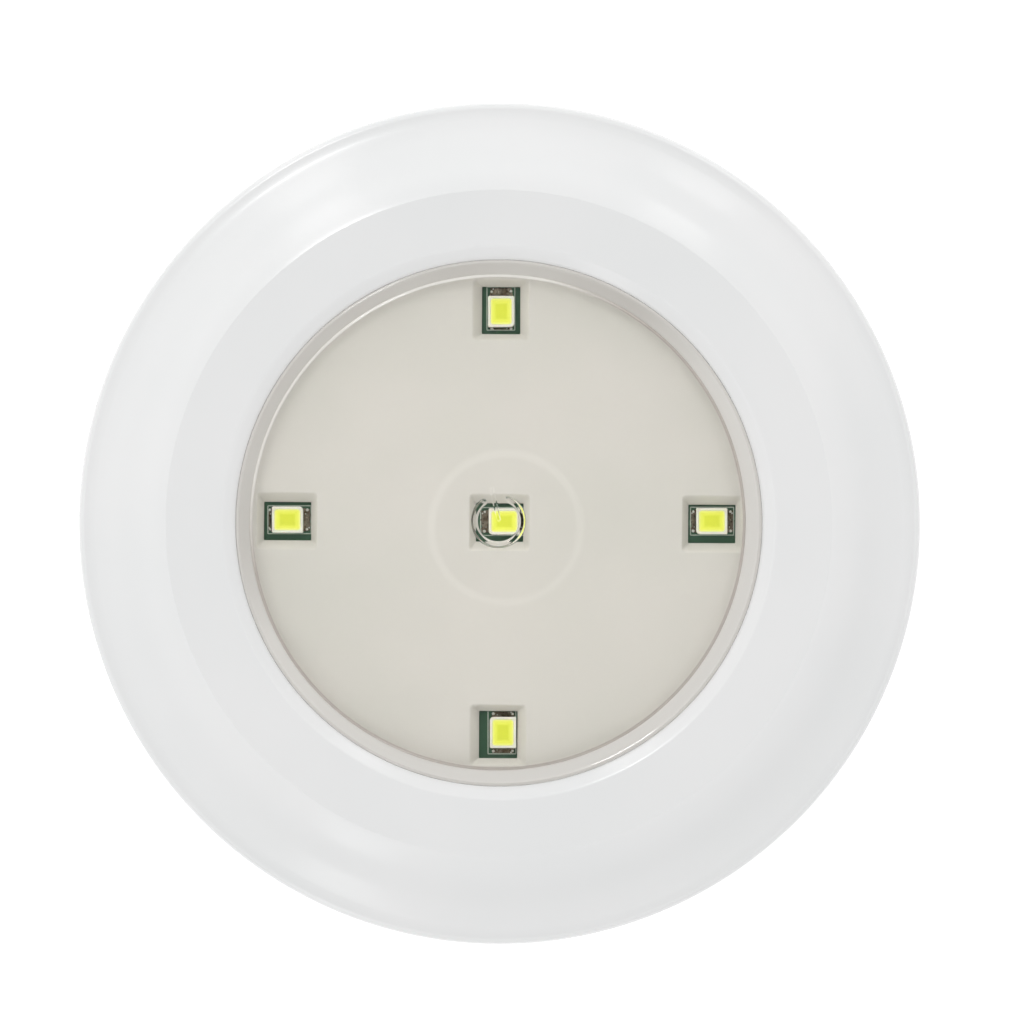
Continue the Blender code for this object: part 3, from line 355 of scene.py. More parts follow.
@dataclass(frozen=True)
class Finish:
    """One finish: a base colour clouded with a second one, a gloss that varies, and a fine grain.

    Attributes:
        name: The material's name.
        slot: Name of a material slot; it is not used.
        colour: Base colour.
        cloud: Colour that it drifts towards.
        gloss: Roughness where the surface is smoothest and where it is roughest.
        grain: Kind of fine relief.
        grain_size: Size of the relief's features in millimetres.
        grain_depth: Depth of the relief in millimetres.
        cloud_size: Size of the colour patches in millimetres.
        metallic: 1 for bare metal.
        constants: Other shader sockets and their values.
        wear_share: Size of the gloss patches as a share of the colour patches.
        brush_stretch: How many times finer a brushed relief is along each axis.
        dross_scale: How many times larger than its crystals a cast relief's patches are.
    """

    name: str
    slot: str
    colour: Colour
    cloud: Colour
    gloss: Flat
    grain: Grain = Grain.SPARKED
    grain_size: float = 0.25
    grain_depth: float = 0.003
    cloud_size: float = 14.0
    metallic: float = 0.0
    constants: tuple[tuple[str, object], ...] = ()
    wear_share: float = 0.4
    brush_stretch: Point = (0.06, 1.0, 1.0)
    dross_scale: float = 2.5

    def paint(self, bench: Bench) -> Socket:
        """Mixes the base colour on a bench and returns its socket."""
        drift = bench.spread(bench.noise(self.cloud_size, detail=3.0), 0.0, 1.0)
        return bench.blend(drift, self.colour, self.cloud)

    def surface(self, bench: Bench) -> Socket:
        """Makes the fine relief.

        Args:
            bench: Where the nodes are laid out.

        Returns:
            The relief's height socket.
        """
        size = self.grain_size
        match self.grain:
            case Grain.SPARKED:
                return bench.noise(size, detail=3.0)
            case Grain.POLISHED:
                return bench.noise(size, detail=0.5)
            case Grain.BRUSHED:
                return bench.noise(size, detail=4.0, stretch=self.brush_stretch)
            case Grain.WOVEN:
                return bench.sum(bench.threads(size, "X"), bench.threads(size, "Y"), "MAXIMUM")
            case Grain.CAST:
                return bench.sum(bench.cells(size), bench.noise(self.dross_scale * size, detail=1.0))

    @cache
    def material(self) -> bpy.types.Material:
        """Makes the material once, for every piece that has this finish.

        Returns:
            The material.
        """
        bench = Bench(self.name)
        shader = bench.shader
        shader.inputs["Metallic"].default_value = self.metallic
        for name, value in self.constants:
            shader.inputs[name].default_value = value
        bench.feed(shader.inputs["Base Color"], self.paint(bench))
        wear = bench.spread(bench.noise(self.cloud_size * self.wear_share, detail=4.0), *self.gloss)
        bench.feed(shader.inputs["Roughness"], wear)
        bench.relief(self.surface(bench), self.grain_depth)
        return bench.material


@dataclass(frozen=True)
class PhosphorFinish(Finish):
    """Silicone loaded with phosphor: deeper in colour over the die, and paler where it thins at the wall.

    Attributes:
        die: Colour over the die.
        edge: Colour at the wall.
    """

    die: Colour = shade(221, 228, 65)
    edge: Colour = shade(248, 249, 160)

    def paint(self, bench: Bench) -> Socket:
        """Mixes the base colour from the depths that the mesh carries.

        Args:
            bench: Where the nodes are laid out.

        Returns:
            The colour's socket.
        """
        body = super().paint(bench)
        over_die, at_wall = (bench.add("ShaderNodeAttribute", attribute_name=name).outputs["Fac"]
                             for name in PHOSPHOR_DEPTHS)
        return bench.blend(at_wall, bench.blend(over_die, body, self.die), self.edge)


@dataclass(frozen=True)
class BorderFinish(Finish):
    """The cap's matt border over its skirt. Its base colour stands for the shade under the bezel's edge, as
    painted shade, and it is paler on the side where the skirt catches the light, as painted light.

    Attributes:
        pale: Painted light: the colour on the side where light falls.
        pale_heading: Where the painted light's middle is, in degrees.
        pale_reach: Distances along that heading, in millimetres, where the painted light starts and is
            full.
    """

    pale: Colour = shade(246, 243, 237)
    pale_heading: float = 300.0
    pale_reach: Flat = (-11.5, -1.5)

    def paint(self, bench: Bench) -> Socket:
        """Mixes the base colour across the cap, blending in the painted light towards pale_heading.

        Args:
            bench: Where the nodes are laid out.

        Returns:
            The colour's socket.
        """
        body = super().paint(bench)
        axes = bench.axes()
        heading = polar(1.0, self.pale_heading)
        parts = [bench.sum(axes[name], share, "MULTIPLY") for name, share in zip("XY", heading)]
        start, end = (reach * MM for reach in self.pale_reach)
        return bench.blend(bench.spread(bench.sum(*parts), 0.0, 1.0, start, end), body, self.pale)


@dataclass(frozen=True)
class JacketFinish(Finish):
    """A cell's printed film: plain bands along the cell, with no words.

    Attributes:
        band: Colour of the band at the button's end.
        band_start: Where the band starts along the cell, in millimetres from its middle.
        band_blur: Width of the band's edge in millimetres.
    """

    band: Colour = shade(196, 142, 64)
    band_start: float = 9.0
    band_blur: float = 0.05

    def paint(self, bench: Bench) -> Socket:
        """Mixes the base colour in two bands.

        Args:
            bench: Where the nodes are laid out.

        Returns:
            The colour's socket.
        """
        body = super().paint(bench)
        start = self.band_start * MM
        band = bench.spread(bench.axes()["Y"], 0.0, 1.0, start, start + self.band_blur * MM)
        return bench.blend(band, body, self.band)


class Palette:
    """Every finish of the light, and the settings that some of them share."""

    MATT_CAP = dict(gloss=(0.42, 0.55), grain=Grain.POLISHED, grain_size=1.5, grain_depth=0.002,
                    cloud_size=18.0, constants=(("Transmission Weight", 0.3), ("IOR", 1.49),
                                                ("Coat Weight", 1.0), ("Coat Roughness", 0.05)))
    MATT_MOULDING = dict(gloss=(0.42, 0.52), grain_size=0.25, grain_depth=0.006)
    INSULATION = dict(gloss=(0.34, 0.46), grain=Grain.POLISHED, grain_size=0.6, grain_depth=0.006,
                      cloud_size=3.0)
    BEZEL = Finish("white_gloss_bezel", "bezel_plastic", shade(232, 232, 232), shade(228, 229, 229),
                   (0.16, 0.22), Grain.POLISHED, 2.2, 0.004, 22.0)
    # The side wall takes a darker copy of the bezel's white: painted shade, so that the wall stands off the
    # bright floor when seen from the side.
    SHADED_SIDE = Finish("white_satin_side_wall_painted_shade", "bezel_plastic", shade(219, 219, 219), shade(214, 215, 215),
                  (0.34, 0.44), Grain.SPARKED, 0.25, 0.004, 22.0)
    MOUNTING = Finish("white_mounting_plate", "mounting_plate_plastic", shade(228, 228, 226),
                      shade(222, 222, 219), **MATT_MOULDING)
    TRAY = Finish("white_battery_tray", "tray_plastic", shade(224, 224, 221), shade(217, 217, 213),
                  **MATT_MOULDING)
    LENS = Finish("clear_cap_plastic", "clear_lens", (0.985, 0.985, 0.98), (0.975, 0.98, 0.975),
                  (0.0, 0.012), Grain.POLISHED, 6.0, 0.0015, 20.0,
                  constants=(("Transmission Weight", 1.0), ("IOR", 1.49)))
    # The border's base colour is painted shade and its pale colour painted light, blended across the cap by
    # direction.
    BORDER = BorderFinish("matt_cap_border", "clear_lens", shade(231, 228, 221), shade(221, 217, 210),
                          **MATT_CAP)
    # A dark line painted on the groove is painted shade beside the step, and its pale side towards 125
    # degrees is painted light.
    SHADE_LINE = BorderFinish("cap_painted_shade_line", "clear_lens", shade(184, 175, 168), shade(175, 166, 159),
                        **MATT_CAP, pale=shade(238, 235, 229), pale_heading=125.0, pale_reach=(10.0, 18.0))
    EDGE = Finish("matt_cap_edge", "clear_lens", shade(236, 232, 226), shade(230, 226, 220), **MATT_CAP)
    SCREEN = Finish("warm_grey_window_plate", "window_plate_plastic", shade(227, 223, 215),
                    shade(223, 220, 211), (0.48, 0.60), Grain.SPARKED, 0.18, 0.004, 10.0)
    BOARD = Finish("green_lamp_board", "green_board", shade(66, 100, 78), shade(60, 92, 70),
                   (0.28, 0.38), Grain.WOVEN, 0.45, 0.004, 6.0)
    TRACK = Finish("mask_over_copper", "green_board", shade(84, 118, 93), shade(76, 109, 84),
                   (0.24, 0.34), Grain.WOVEN, 0.45, 0.002, 4.0)
    PRINT = Finish("white_board_print", "green_board", shade(214, 222, 208), shade(190, 202, 188),
                   (0.55, 0.70), Grain.SPARKED, 0.05, 0.004, 0.6)
    SOLDER = Finish("tin_solder", "green_board", shade(150, 142, 128), shade(98, 88, 74), (0.22, 0.42),
                    Grain.CAST, 0.12, 0.02, 0.5, 1.0)
    # Pale specks on the solder: painted highlights that stand for the solder's glints.
    GLINT_SPECKS = Finish("painted_glint_specks", "green_board", shade(232, 232, 226), shade(206, 206, 196),
                  (0.25, 0.40), Grain.CAST, 0.08, 0.01, 0.3)
    LED_BODY = Finish("white_led_body", "led_white", shade(250, 247, 234), shade(243, 240, 224),
                      (0.30, 0.42), Grain.SPARKED, 0.08, 0.002, 1.0,
                      constants=(("Subsurface Weight", 0.15), ("Subsurface Scale", 0.0004)))
    # The phosphor's glow is painted light: it stands partly for the phosphor's real fluorescence under
    # daylight, and lifts it brighter than its colour alone would be.
    PHOSPHOR = PhosphorFinish("yellow_led_phosphor", "led_phosphor", shade(242, 246, 98),
                              shade(238, 243, 88), (0.30, 0.45), Grain.SPARKED, 0.06, 0.003, 0.5,
                              constants=(("Emission Color", (0.82, 0.88, 0.08, 1.0)),
                                         ("Emission Strength", 0.16)))
    RESISTOR = Finish("black_resistor_glaze", "resistor_ceramic", shade(34, 34, 36), shade(44, 44, 46),
                      (0.25, 0.40), Grain.POLISHED, 0.3, 0.004, 0.8)
    SWITCH_BODY = Finish("black_switch_body", "switch_plastic", shade(38, 38, 40), shade(46, 46, 48),
                         (0.45, 0.58), Grain.SPARKED, 0.12, 0.004, 3.0)
    SWITCH_STEEL = Finish("rolled_switch_steel", "switch_steel", shade(196, 197, 199),
                          shade(178, 180, 183), (0.26, 0.40), Grain.BRUSHED, 0.05, 0.002, 2.0, 1.0)
    PLUNGER = Finish("white_switch_plunger", "plunger_plastic", shade(228, 228, 224),
                     shade(220, 220, 215), (0.35, 0.45), Grain.SPARKED, 0.1, 0.003, 2.0)
    RED_LEAD = Finish("red_lead_insulation", "red_insulation", shade(186, 30, 28), shade(168, 24, 24),
                      **INSULATION)
    BLACK_LEAD = Finish("black_lead_insulation", "black_insulation", shade(28, 28, 29),
                        shade(38, 38, 39), **INSULATION)
    SCREW = Finish("zinc_screw_steel", "screw_steel", shade(190, 191, 194), shade(168, 170, 172),
                   (0.26, 0.42), Grain.BRUSHED, 0.12, 0.004, 2.0, 1.0)
    JACKET = JacketFinish("cell_film", "cell_jacket", shade(44, 46, 50), shade(52, 54, 58),
                          (0.22, 0.32), Grain.POLISHED, 1.2, 0.004, 6.0)
    NICKEL = Finish("nickel_contact", "contact_nickel", shade(206, 203, 194), shade(188, 184, 174),
                    (0.20, 0.36), Grain.BRUSHED, 0.08, 0.003, 3.0, 1.0)


def add_object(name: str, data: bpy.types.ID) -> bpy.types.Object:
    """Puts an object into the scene.

    Args:
        name: Its name.
        data: Its mesh, light or camera.

    Returns:
        The object.
    """
    made = bpy.data.objects.new(name, data)
    bpy.context.scene.collection.objects.link(made)
    return made


class Mesher:
    """Collects points and faces for one object of the scene."""

    def __init__(self, name: str) -> None:
        """Starts an empty mesh for the named object."""
        self.name = name
        self.mesh = bmesh.new()

    def row(self, points: Sequence[Point]) -> Row:
        """Adds a row of points and returns it."""
        return [self.mesh.verts.new(point) for point in points]

    def level(self, outline: Sequence[Flat], height: float) -> Row:
        """Adds a flat outline at one height and returns its row."""
        return self.row([(x, y, height) for x, y in outline])

    def ring(self, radius: Radius, height: float, angles: Sequence[float],
             centre: Flat = (0.0, 0.0)) -> Row:
        """Adds a ring of points, whose radius may be a function of the angle, and returns its row."""
        reach = radius if callable(radius) else lambda angle: radius
        return self.level([polar(reach(angle), angle, centre) for angle in angles], height)

    def span(self, first: Row, second: Row, closed: bool = True, finish: int = 0) -> None:
        """Joins two rows with faces. A row of one point makes a fan.

        Args:
            first: One row.
            second: The other row.
            closed: Whether the rows run all the way round.
            finish: Number of the faces' finish.
        """
        count = max(len(first), len(second))
        if count == 1:
            return
        for number in range(count if closed else count - 1):
            following = (number + 1) % count
            corners = []
            for row, order in ((first, (number, following)), (second, (following, number))):
                corners += [row[0]] if len(row) == 1 else [row[place] for place in order]
            self.mesh.faces.new(corners).material_index = finish

    def loft(self, rows: Sequence[Row], finish: int = 0, caps: tuple[bool, bool] = (True, True)) -> None:
        """Joins closed rows in order.

        Args:
            rows: The rows.
            finish: Number of the faces' finish.
            caps: Whether the first and the last row are closed with a face.
        """
        for first, second in zip(rows, rows[1:]):
            self.span(first, second, finish=finish)
        for row, wanted in zip((rows[0], rows[-1]), caps):
            if wanted and len(row) > 2:
                self.mesh.faces.new(row).material_index = finish

    def turned(self, profile: Sequence[Flat], angles: Sequence[float], centre: Flat = (0.0, 0.0),
               looped: bool = False, finish: int = 0) -> list[Row]:
        """Turns a profile about an upright axis.

        Args:
            profile: Points of radius and height.
            angles: The spokes, in degrees.
            centre: Where the axis stands.
            looped: Whether the last point joins the first.
            finish: Number of the faces' finish.

        Returns:
            The rows, one for each point of the profile.
        """
        rows = [self.ring(radius, height, angles if radius > 0 else angles[:1], centre)
                for radius, height in profile]
        self.loft(rows + rows[:1] if looped else rows, finish, (False, False))
        return rows

    def block(self, low: Point, high: Point, heading: float = 0.0, finish: int = 0) -> None:
        """Adds an upright block.

        Args:
            low: Its lowest corner before it is turned.
            high: Its highest corner before it is turned.
            heading: Degrees that it is turned about Z.
            finish: Number of the faces' finish.
        """
        outline = [(low[0], low[1]), (high[0], low[1]), (high[0], high[1]), (low[0], high[1])]
        rows = [self.level(outline, height) for height in (low[2], high[2])]
        turn = Matrix.Rotation(math.radians(heading), 3, "Z")
        bmesh.ops.rotate(self.mesh, verts=rows[0] + rows[1], matrix=turn)
        self.loft(rows, finish)

    def fill(self, loops: Sequence[Row]) -> None:
        """Fills a flat face between an outer loop and the loops of its holes.

        Args:
            loops: The outer loop and the holes' loops.
        """
        edges = []
        for loop in loops:
            for first, second in zip(loop, loop[1:] + loop[:1]):
                edge = self.mesh.edges.get((first, second))
                edges.append(edge or self.mesh.edges.new((first, second)))
        bmesh.ops.triangle_fill(self.mesh, use_beauty=True, use_dissolve=False, edges=edges)

    def settle(self, materials: Sequence[bpy.types.Material], sharp: float = 35.0) -> bpy.types.Object:
        """Turns the mesh into an object of the scene, in metres.

        Args:
            materials: Its materials, by number.
            sharp: Faces that meet at more than this angle keep a sharp edge.

        Returns:
            The object.
        """
        mesh = self.mesh
        bmesh.ops.remove_doubles(mesh, verts=mesh.verts, dist=MERGE_DISTANCE)
        bmesh.ops.recalc_face_normals(mesh, faces=mesh.faces)
        bmesh.ops.scale(mesh, vec=(MM, MM, MM), verts=mesh.verts)
        data = bpy.data.meshes.new(self.name)
        mesh.to_mesh(data)
        mesh.free()
        data.shade_smooth()
        data.set_sharp_from_angle(angle=math.radians(sharp))
        for material in materials:
            data.materials.append(material)
        return add_object(self.name, data)

    def place(self, body: str, finishes: Sequence[Finish], replaces: Sequence[str] = (),
              sharp: float = 35.0) -> bpy.types.Object:
        """Turns the mesh into a piece of the light.

        Args:
            body: The body that it rides on.
            finishes: Its finishes, by number.
            replaces: The CAD nodes that it stands for.
            sharp: Faces that meet at more than this angle keep a sharp edge.

        Returns:
            The object.
        """
        made = self.settle([finish.material() for finish in finishes], sharp)
        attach(made, body)
        if replaces:
            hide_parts(*replaces)
        log.info("%s: %d faces on %s", self.name, len(made.data.polygons), body)
        return made


def even_angles(sides: int) -> list[float]:
    """Spaces spokes evenly, and returns their angles in degrees."""
    return [360.0 * side / sides for side in range(sides)]


def dress(nodes: Nodes, names: Sequence[str], finish: Finish, edge: float = 0.0) -> None:
    """Dresses CAD nodes that keep their own shape.

    Args:
        nodes: The frame's nodes.
        names: The nodes to dress.
        finish: The finish that they get.
        edge: Width of a round on their sharp edges, in millimetres.
    """
    for name in names:
        node = nodes[name]
        for slot in node.material_slots:
            slot.material = finish.material()
        if edge:
            rounding = node.modifiers.new("Edge", "BEVEL")
            rounding.width = edge * MM
            rounding.segments = ROUND_SEGMENTS
            rounding.limit_method = "ANGLE"
            rounding.angle_limit = math.radians(ROUND_ANGLE)
            rounding.harden_normals = True
        log.info("%s: CAD node in %s", name, finish.name)


class BezelZone(IntEnum):
    """The bezel's finishes, by number."""

    FRONT = 0
    SHADED_SIDE = 1


@dataclass
class Bezel:
    """The white front shell: its opening, face, slope and side wall, the screw bosses and the cap's guides.

    The slopes are laid out from their tilts: knee and edge at the opening, end and middle on the ogee.
    """

    opening: float = 26.72
    collar_bottom: float = 23.2
    collar_outer: float = 28.3
    face_height: float = 28.5
    edge_run: float = 1.5
    knee_run: float = 0.3
    knee_tilt: float = 25.0
    edge_tilt: float = 38.0
    edge_steps: int = 20
    face_outer: float = 33.77
    slope_outer: float = 41.3526
    end_tilt: float = 16.0
    middle_tilt: float = 42.0
    rim_round: float = 0.7
    rim_steps: int = 12
    rim_fall: float = 0.12
    crease: float = 0.02
    side_top: float = 42.8626
    side_margin: float = 0.01
    side_bottom: float = 43.0126
    back: float = 0.8
    back_round: float = 0.3
    back_steps: int = 5
    inner: float = 41.3126
    wall: float = 1.7
    slope_wall: float = 2.0
    sides: int = 288
    slope_steps: int = 56
    boss_angles: tuple[float, ...] = (30.0, 150.0, 270.0)
    boss_ring: float = 38.6876
    boss_radius: float = 3.0
    boss_bottom: float = 18.8
    boss_sides: int = 48
    hole_radius: float = 1.25
    hole_top: float = 23.0
    guide_angles: tuple[float, ...] = (90.0, 210.0, 330.0)
    guide_half: float = 1.5
    guide_gap: float = 0.3
    guide_outer: float = 29.6
    guide_bottom: float = 20.9
    guide_bite: float = 0.1

    def slope(self) -> list[Flat]:
        """Lays out the ogee slope, shallow at both ends and steepest halfway.

        Returns:
            Points of radius and height, from the flat ring outwards.
        """
        run = (self.slope_outer - self.face_outer) / self.slope_steps
        shares = [(step + 0.5) / self.slope_steps for step in range(self.slope_steps)]
        more = self.middle_tilt - self.end_tilt
        tilts = [self.end_tilt + more * math.sin(math.pi * share) for share in shares]
        return falling((self.face_outer, self.face_height), run, tilts)

    def opening_edge(self) -> list[Flat]:
        """Lays out the opening's edge: it turns over quickly from the flat ring, then falls to the cap.

        Returns:
            Points of radius and height, from the collar outwards.
        """
        run = self.edge_run / self.edge_steps
        tilts = []
        for step in range(self.edge_steps):
            passed = (step + 0.5) * run
            knee = min(passed / self.knee_run, 1.0)
            share = max(passed - self.knee_run, 0.0) / (self.edge_run - self.knee_run)
            tilts.append(self.knee_tilt * knee + (self.edge_tilt - self.knee_tilt) * share)
        return falling((self.opening + self.edge_run, self.face_height), -run, tilts)[::-1]

    def profile(self) -> list[Flat]:
        """Lays out the shell's closed profile.

        Returns:
            Points of radius and height.
        """
        slope = self.slope()
        rim = slope[-1][1]
        gradient = (rim - self.face_height) / (self.slope_outer - self.face_outer)
        below = self.slope_wall * math.hypot(1.0, gradient)
        roof = self.face_height - self.wall
        corner = (self.face_outer + (roof - self.face_height + below) / gradient, roof)
        wall_top = (self.inner, self.face_height - below + gradient * (self.inner - self.face_outer))
        points = [(self.opening, self.collar_bottom), *self.opening_edge()]
        points += [(self.face_outer - self.crease, self.face_height), *slope]
        turn = (self.side_top - self.rim_round, rim - self.rim_fall - self.rim_round)
        points += arc(turn, self.rim_round, 90.0, 0.0, self.rim_steps)
        turn = (self.side_bottom - self.back_round, self.back + self.back_round)
        points += arc(turn, self.back_round, 0.0, -90.0, self.back_steps)
        points += [(self.inner, self.back), wall_top, corner]
        points += [(self.collar_outer, roof), (self.collar_outer, self.collar_bottom)]
        return points

    def add_bosses(self, mesher: Mesher) -> None:
        """Adds the tubes that the case screws bite into.

        Args:
            mesher: The shell's mesh.
        """
        slope = self.slope()
        for angle in self.boss_angles:
            profile = [(self.hole_radius, self.boss_bottom), (self.boss_radius, self.boss_bottom)]
            profile += [(self.boss_radius, self.face_height), (0.0, self.face_height)]
            profile += [(0.0, self.hole_top), (self.hole_radius, self.hole_top)]
            spokes = even_angles(self.boss_sides)
            rows = mesher.turned(profile, spokes, polar(self.boss_ring, angle), looped=True)
            for point in rows[2] + rows[3]:
                radius = max(point.co.xy.length, self.face_outer)
                over = min(height for reach, height in slope if reach <= radius)
                point.co.z = over - self.wall / 2

    def add_guides(self, mesher: Mesher) -> None:
        """Adds the blocks that keep the cap from turning.

        Args:
            mesher: The shell's mesh.
        """
        low = (self.opening + self.guide_gap, -self.guide_half, self.guide_bottom)
        high = (self.guide_outer, self.guide_half, self.face_height - self.wall + self.guide_bite)
        for angle in self.guide_angles:
            mesher.block(low, high, angle)

    def build(self) -> bpy.types.Object:
        """Makes the bezel.

        Returns:
            The bezel's object.
        """
        mesher = Mesher("bezel_shell")
        mesher.turned(self.profile(), even_angles(self.sides), looped=True, finish=BezelZone.FRONT)
        # Faces of the side wall get the darker white, which is painted shade.
        for face in mesher.mesh.faces:
            if min(point.co.xy.length for point in face.verts) > self.side_top - self.side_margin:
                face.material_index = BezelZone.SHADED_SIDE
        self.add_bosses(mesher)
        self.add_guides(mesher)
        return mesher.place("head", [Palette.BEZEL, Palette.SHADED_SIDE], ["front_bezel"], sharp=14.0)


class CapZone(IntEnum):
    """The cap's finishes, by number."""

    FACE = 0
    BORDER = 1
    SHADE_LINE = 2
    EDGE = 3


@dataclass
class Sectors:
    """Short sectors round the cap, all alike, such as its notches or its beads.

    Attributes:
        middles: Where their middles are.
        half: Half their width.
        radius: Where the width is measured.
    """

    middles: tuple[float, ...]
    half: float
    radius: float

    def turn(self) -> float:
        """Returns half the angle that one of them takes up."""
        return math.degrees(math.asin(self.half / self.radius))

    def edges(self) -> list[float]:
        """Returns the angles of their sides."""
        return [middle + side * self.turn() for middle in self.middles for side in (-1, 1)]

    def hold(self, angle: float) -> bool:
        """Tells whether a spoke is in one of them."""
        return any(abs(angle - middle) < self.turn() for middle in self.middles)


@dataclass
class LensCap:
    """The clear cap, which is also the push button, with the sign for power moulded into its face."""

    top: float = 28.0
    underside: float = 26.4
    radius: float = 26.69
    edge_round: float = 0.3
    edge_start: float = 78.0
    edge_steps: int = 7
    border_inner: float = 24.86
    border_margin: float = 0.05
    groove_width: float = 0.3
    groove_drop: float = 0.2
    groove_start: float = 84.0
    groove_steps: int = 7
    border_fall: float = 0.24
    border_shift: Flat = (-0.13, 0.08)
    lip_run: float = 0.22
    lip_height: float = 0.05
    lip_steps: int = 6
    skirt_inner: float = 25.2
    skirt_round: float = 0.3
    skirt_steps: int = 6
    flange_outer: float = 28.3
    flange_top: float = 22.9
    flange_bottom: float = 21.7
    dish_centre: Flat = (0.7, -0.5)
    dish_floor_radius: float = 6.6
    dish_radius: float = 8.6
    dish_depth: float = 0.34
    sign_centre: Flat = (-0.05, 0.2)
    sign_radius: float = 2.43
    sign_half_width: float = 0.13
    sign_wall: float = 0.22
    sign_height: float = 0.2
    sign_gap: Flat = (65.0, 128.0)
    sign_reach: float = 5.0
    bar_start: Flat = (-0.72, 3.45)
    bar_end: Flat = (-0.02, 0.36)
    bar_half_width: float = 0.1
    bar_wall: float = 0.14
    bar_height: float = 0.14
    notch_middles: tuple[float, ...] = (90.0, 210.0, 330.0)
    notch_half: float = 1.8
    notch_depth: float = 1.5
    bead_middles: tuple[float, ...] = (45.0, 135.0, 225.0, 315.0)
    bead_half: float = 2.0
    bead_inner: float = 24.5
    bead_top: float = 23.4
    bead_bottom: float = 22.6
    sides: int = 256
    step_turn: float = 0.01
    clear_turn: float = 0.4
    sign_rows: tuple[tuple[int, float], ...] = ((27, 0.07), (35, 0.035), (15, 0.07))
    row_growth: float = 0.12
    widest_row: float = 0.9
    sign_stay: float = 4.0
    shift_start: float = 20.0

    def ring_distance(self, spot: Flat) -> float:
        """Measures how far a point is from the middle line of the sign's open ring.

        Args:
            spot: The point's X and Y.

        Returns:
            The distance.
        """
        away_x, away_y = spot[0] - self.sign_centre[0], spot[1] - self.sign_centre[1]
        angle = math.degrees(math.atan2(away_y, away_x)) % 360.0
        if not self.sign_gap[0] < angle < self.sign_gap[1]:
            return abs(math.hypot(away_x, away_y) - self.sign_radius)
        return min(math.dist(spot, polar(self.sign_radius, end, self.sign_centre)) for end in self.sign_gap)

    def bar_distance(self, spot: Flat) -> float:
        """Measures how far a point is from the middle line of the sign's bar.

        Args:
            spot: The point's X and Y.

        Returns:
            The distance.
        """
        start, end = Vector(self.bar_start), Vector(self.bar_end)
        along = end - start
        share = min(max((Vector(spot) - start).dot(along) / along.length_squared, 0.0), 1.0)
        return (Vector(spot) - start - along * share).length

    def face_height(self, spot: Flat) -> float:
        """Finds the height of the cap's face: a shallow dish with the raised sign in it.

        Args:
            spot: The point's X and Y.

        Returns:
            The height.
        """
        dip = 1 - soft_step(math.dist(spot, self.dish_centre), self.dish_floor_radius, self.dish_radius)
        height = self.top - self.dish_depth * dip
        if math.dist(spot, self.sign_centre) > self.sign_reach:
            return height
        ring_foot = self.sign_half_width + self.sign_wall
        bar_foot = self.bar_half_width + self.bar_wall
        ring = 1 - soft_step(self.ring_distance(spot), self.sign_half_width, ring_foot)
        bar = 1 - soft_step(self.bar_distance(spot), self.bar_half_width, bar_foot)
        return height + max(self.sign_height * ring, self.bar_height * bar)

    def notches(self) -> Sectors:
        """Returns the flange's notches, which run over the bezel's guides."""
        return Sectors(self.notch_middles, self.notch_half, self.flange_outer)

    def beads(self) -> Sectors:
        """Returns the beads inside the skirt, which the window plate's barbs hold on to."""
        return Sectors(self.bead_middles, self.bead_half, self.bead_inner)

    def spokes(self) -> list[float]:
        """Spaces the spokes evenly, with a close pair at each side of a notch and of a bead.

        The pair makes an upright wall there, and the other spokes keep clear of it.

        Returns:
            The angles.
        """
        edges = self.notches().edges() + self.beads().edges()
        pairs = [edge + step for edge in edges for step in (-self.step_turn, self.step_turn)]
        kept = [angle for angle in even_angles(self.sides)
                if all(abs(angle - spoke) > self.clear_turn for spoke in pairs)]
        return sorted(kept + pairs)

    def flange_radius(self, angle: float) -> float:
        """Finds the flange's radius on a spoke, which is less in a notch."""
        return self.flange_outer - self.notch_depth * self.notches().hold(angle)

    def inside_radius(self, angle: float) -> float:
        """Finds the radius of the skirt's inside on a spoke at a bead's height."""
        return self.bead_inner if self.beads().hold(angle) else self.skirt_inner

    def face_rows(self, mesher: Mesher, spokes: Sequence[float]) -> list[Row]:
        """Lays out the cap's face, close round the sign and wider towards the edge.

        The rows are centred on the sign as far as sign_stay, and drift from there to the border's middle.

        Args:
            mesher: The cap's mesh.
            spokes: The spokes' angles.

        Returns:
            The rows, from the middle outwards.
        """
        radii = [0.0]
        for count, pitch in self.sign_rows:
            radii += [radii[-1] + pitch * number for number in range(1, count + 1)]
        run = self.sign_rows[-1][1]
        while radii[-1] < self.border_inner - self.widest_row:
            growth = (radii[-1] - self.sign_stay) * self.row_growth
            radii.append(radii[-1] + min(run + growth, self.widest_row))
        radii[-1:] = [self.border_inner - self.border_margin, self.border_inner]
        middle = self.sign_centre
        rows = [mesher.row([(*middle, self.face_height(middle))])]
        for radius in radii[1:]:
            stay = 1 - soft_step(radius, self.sign_stay, self.shift_start)
            edge = soft_step(radius, self.shift_start, self.border_inner)
            centre = tuple(mid * stay + shift * edge for mid, shift in zip(middle, self.border_shift))
            spots = [polar(radius, angle, centre) for angle in spokes]
            rows.append(mesher.row([(*spot, self.face_height(spot)) for spot in spots]))
        return rows

    def groove(self) -> list[Flat]:
        """Lays out the fine groove round the face.

        Returns:
            Points of radius and height, from the face outwards.
        """
        points = [(self.border_inner + self.groove_width * across, self.top - self.groove_drop * (1 - rise))
                  for across, rise in arc((0.0, 0.0), 1.0, self.groove_start, 0.0, self.groove_steps)]
        return points + [(self.border_inner + self.groove_width, self.top - self.border_fall)]

    def lip(self) -> list[Flat]:
        """Lays out the border's outer end, which rises in a soft lip.

        Returns:
            Points of radius and height, from the border outwards.
        """
        start = self.radius - self.edge_round - self.lip_run
        points = []
        for step in range(self.lip_steps + 1):
            share = step / self.lip_steps
            fall = self.lip_height * (1 - soft_step(share, 0.0, 1.0))
            points.append((start + self.lip_run * share, self.top - fall))
        return points

    def round_edge(self) -> list[Flat]:
        """Lays out the round outer edge: its points of radius and height, from the top down."""
        centre = (self.radius - self.edge_round, self.top - self.edge_round)
        return arc(centre, self.edge_round, self.edge_start, 0.0, self.edge_steps)

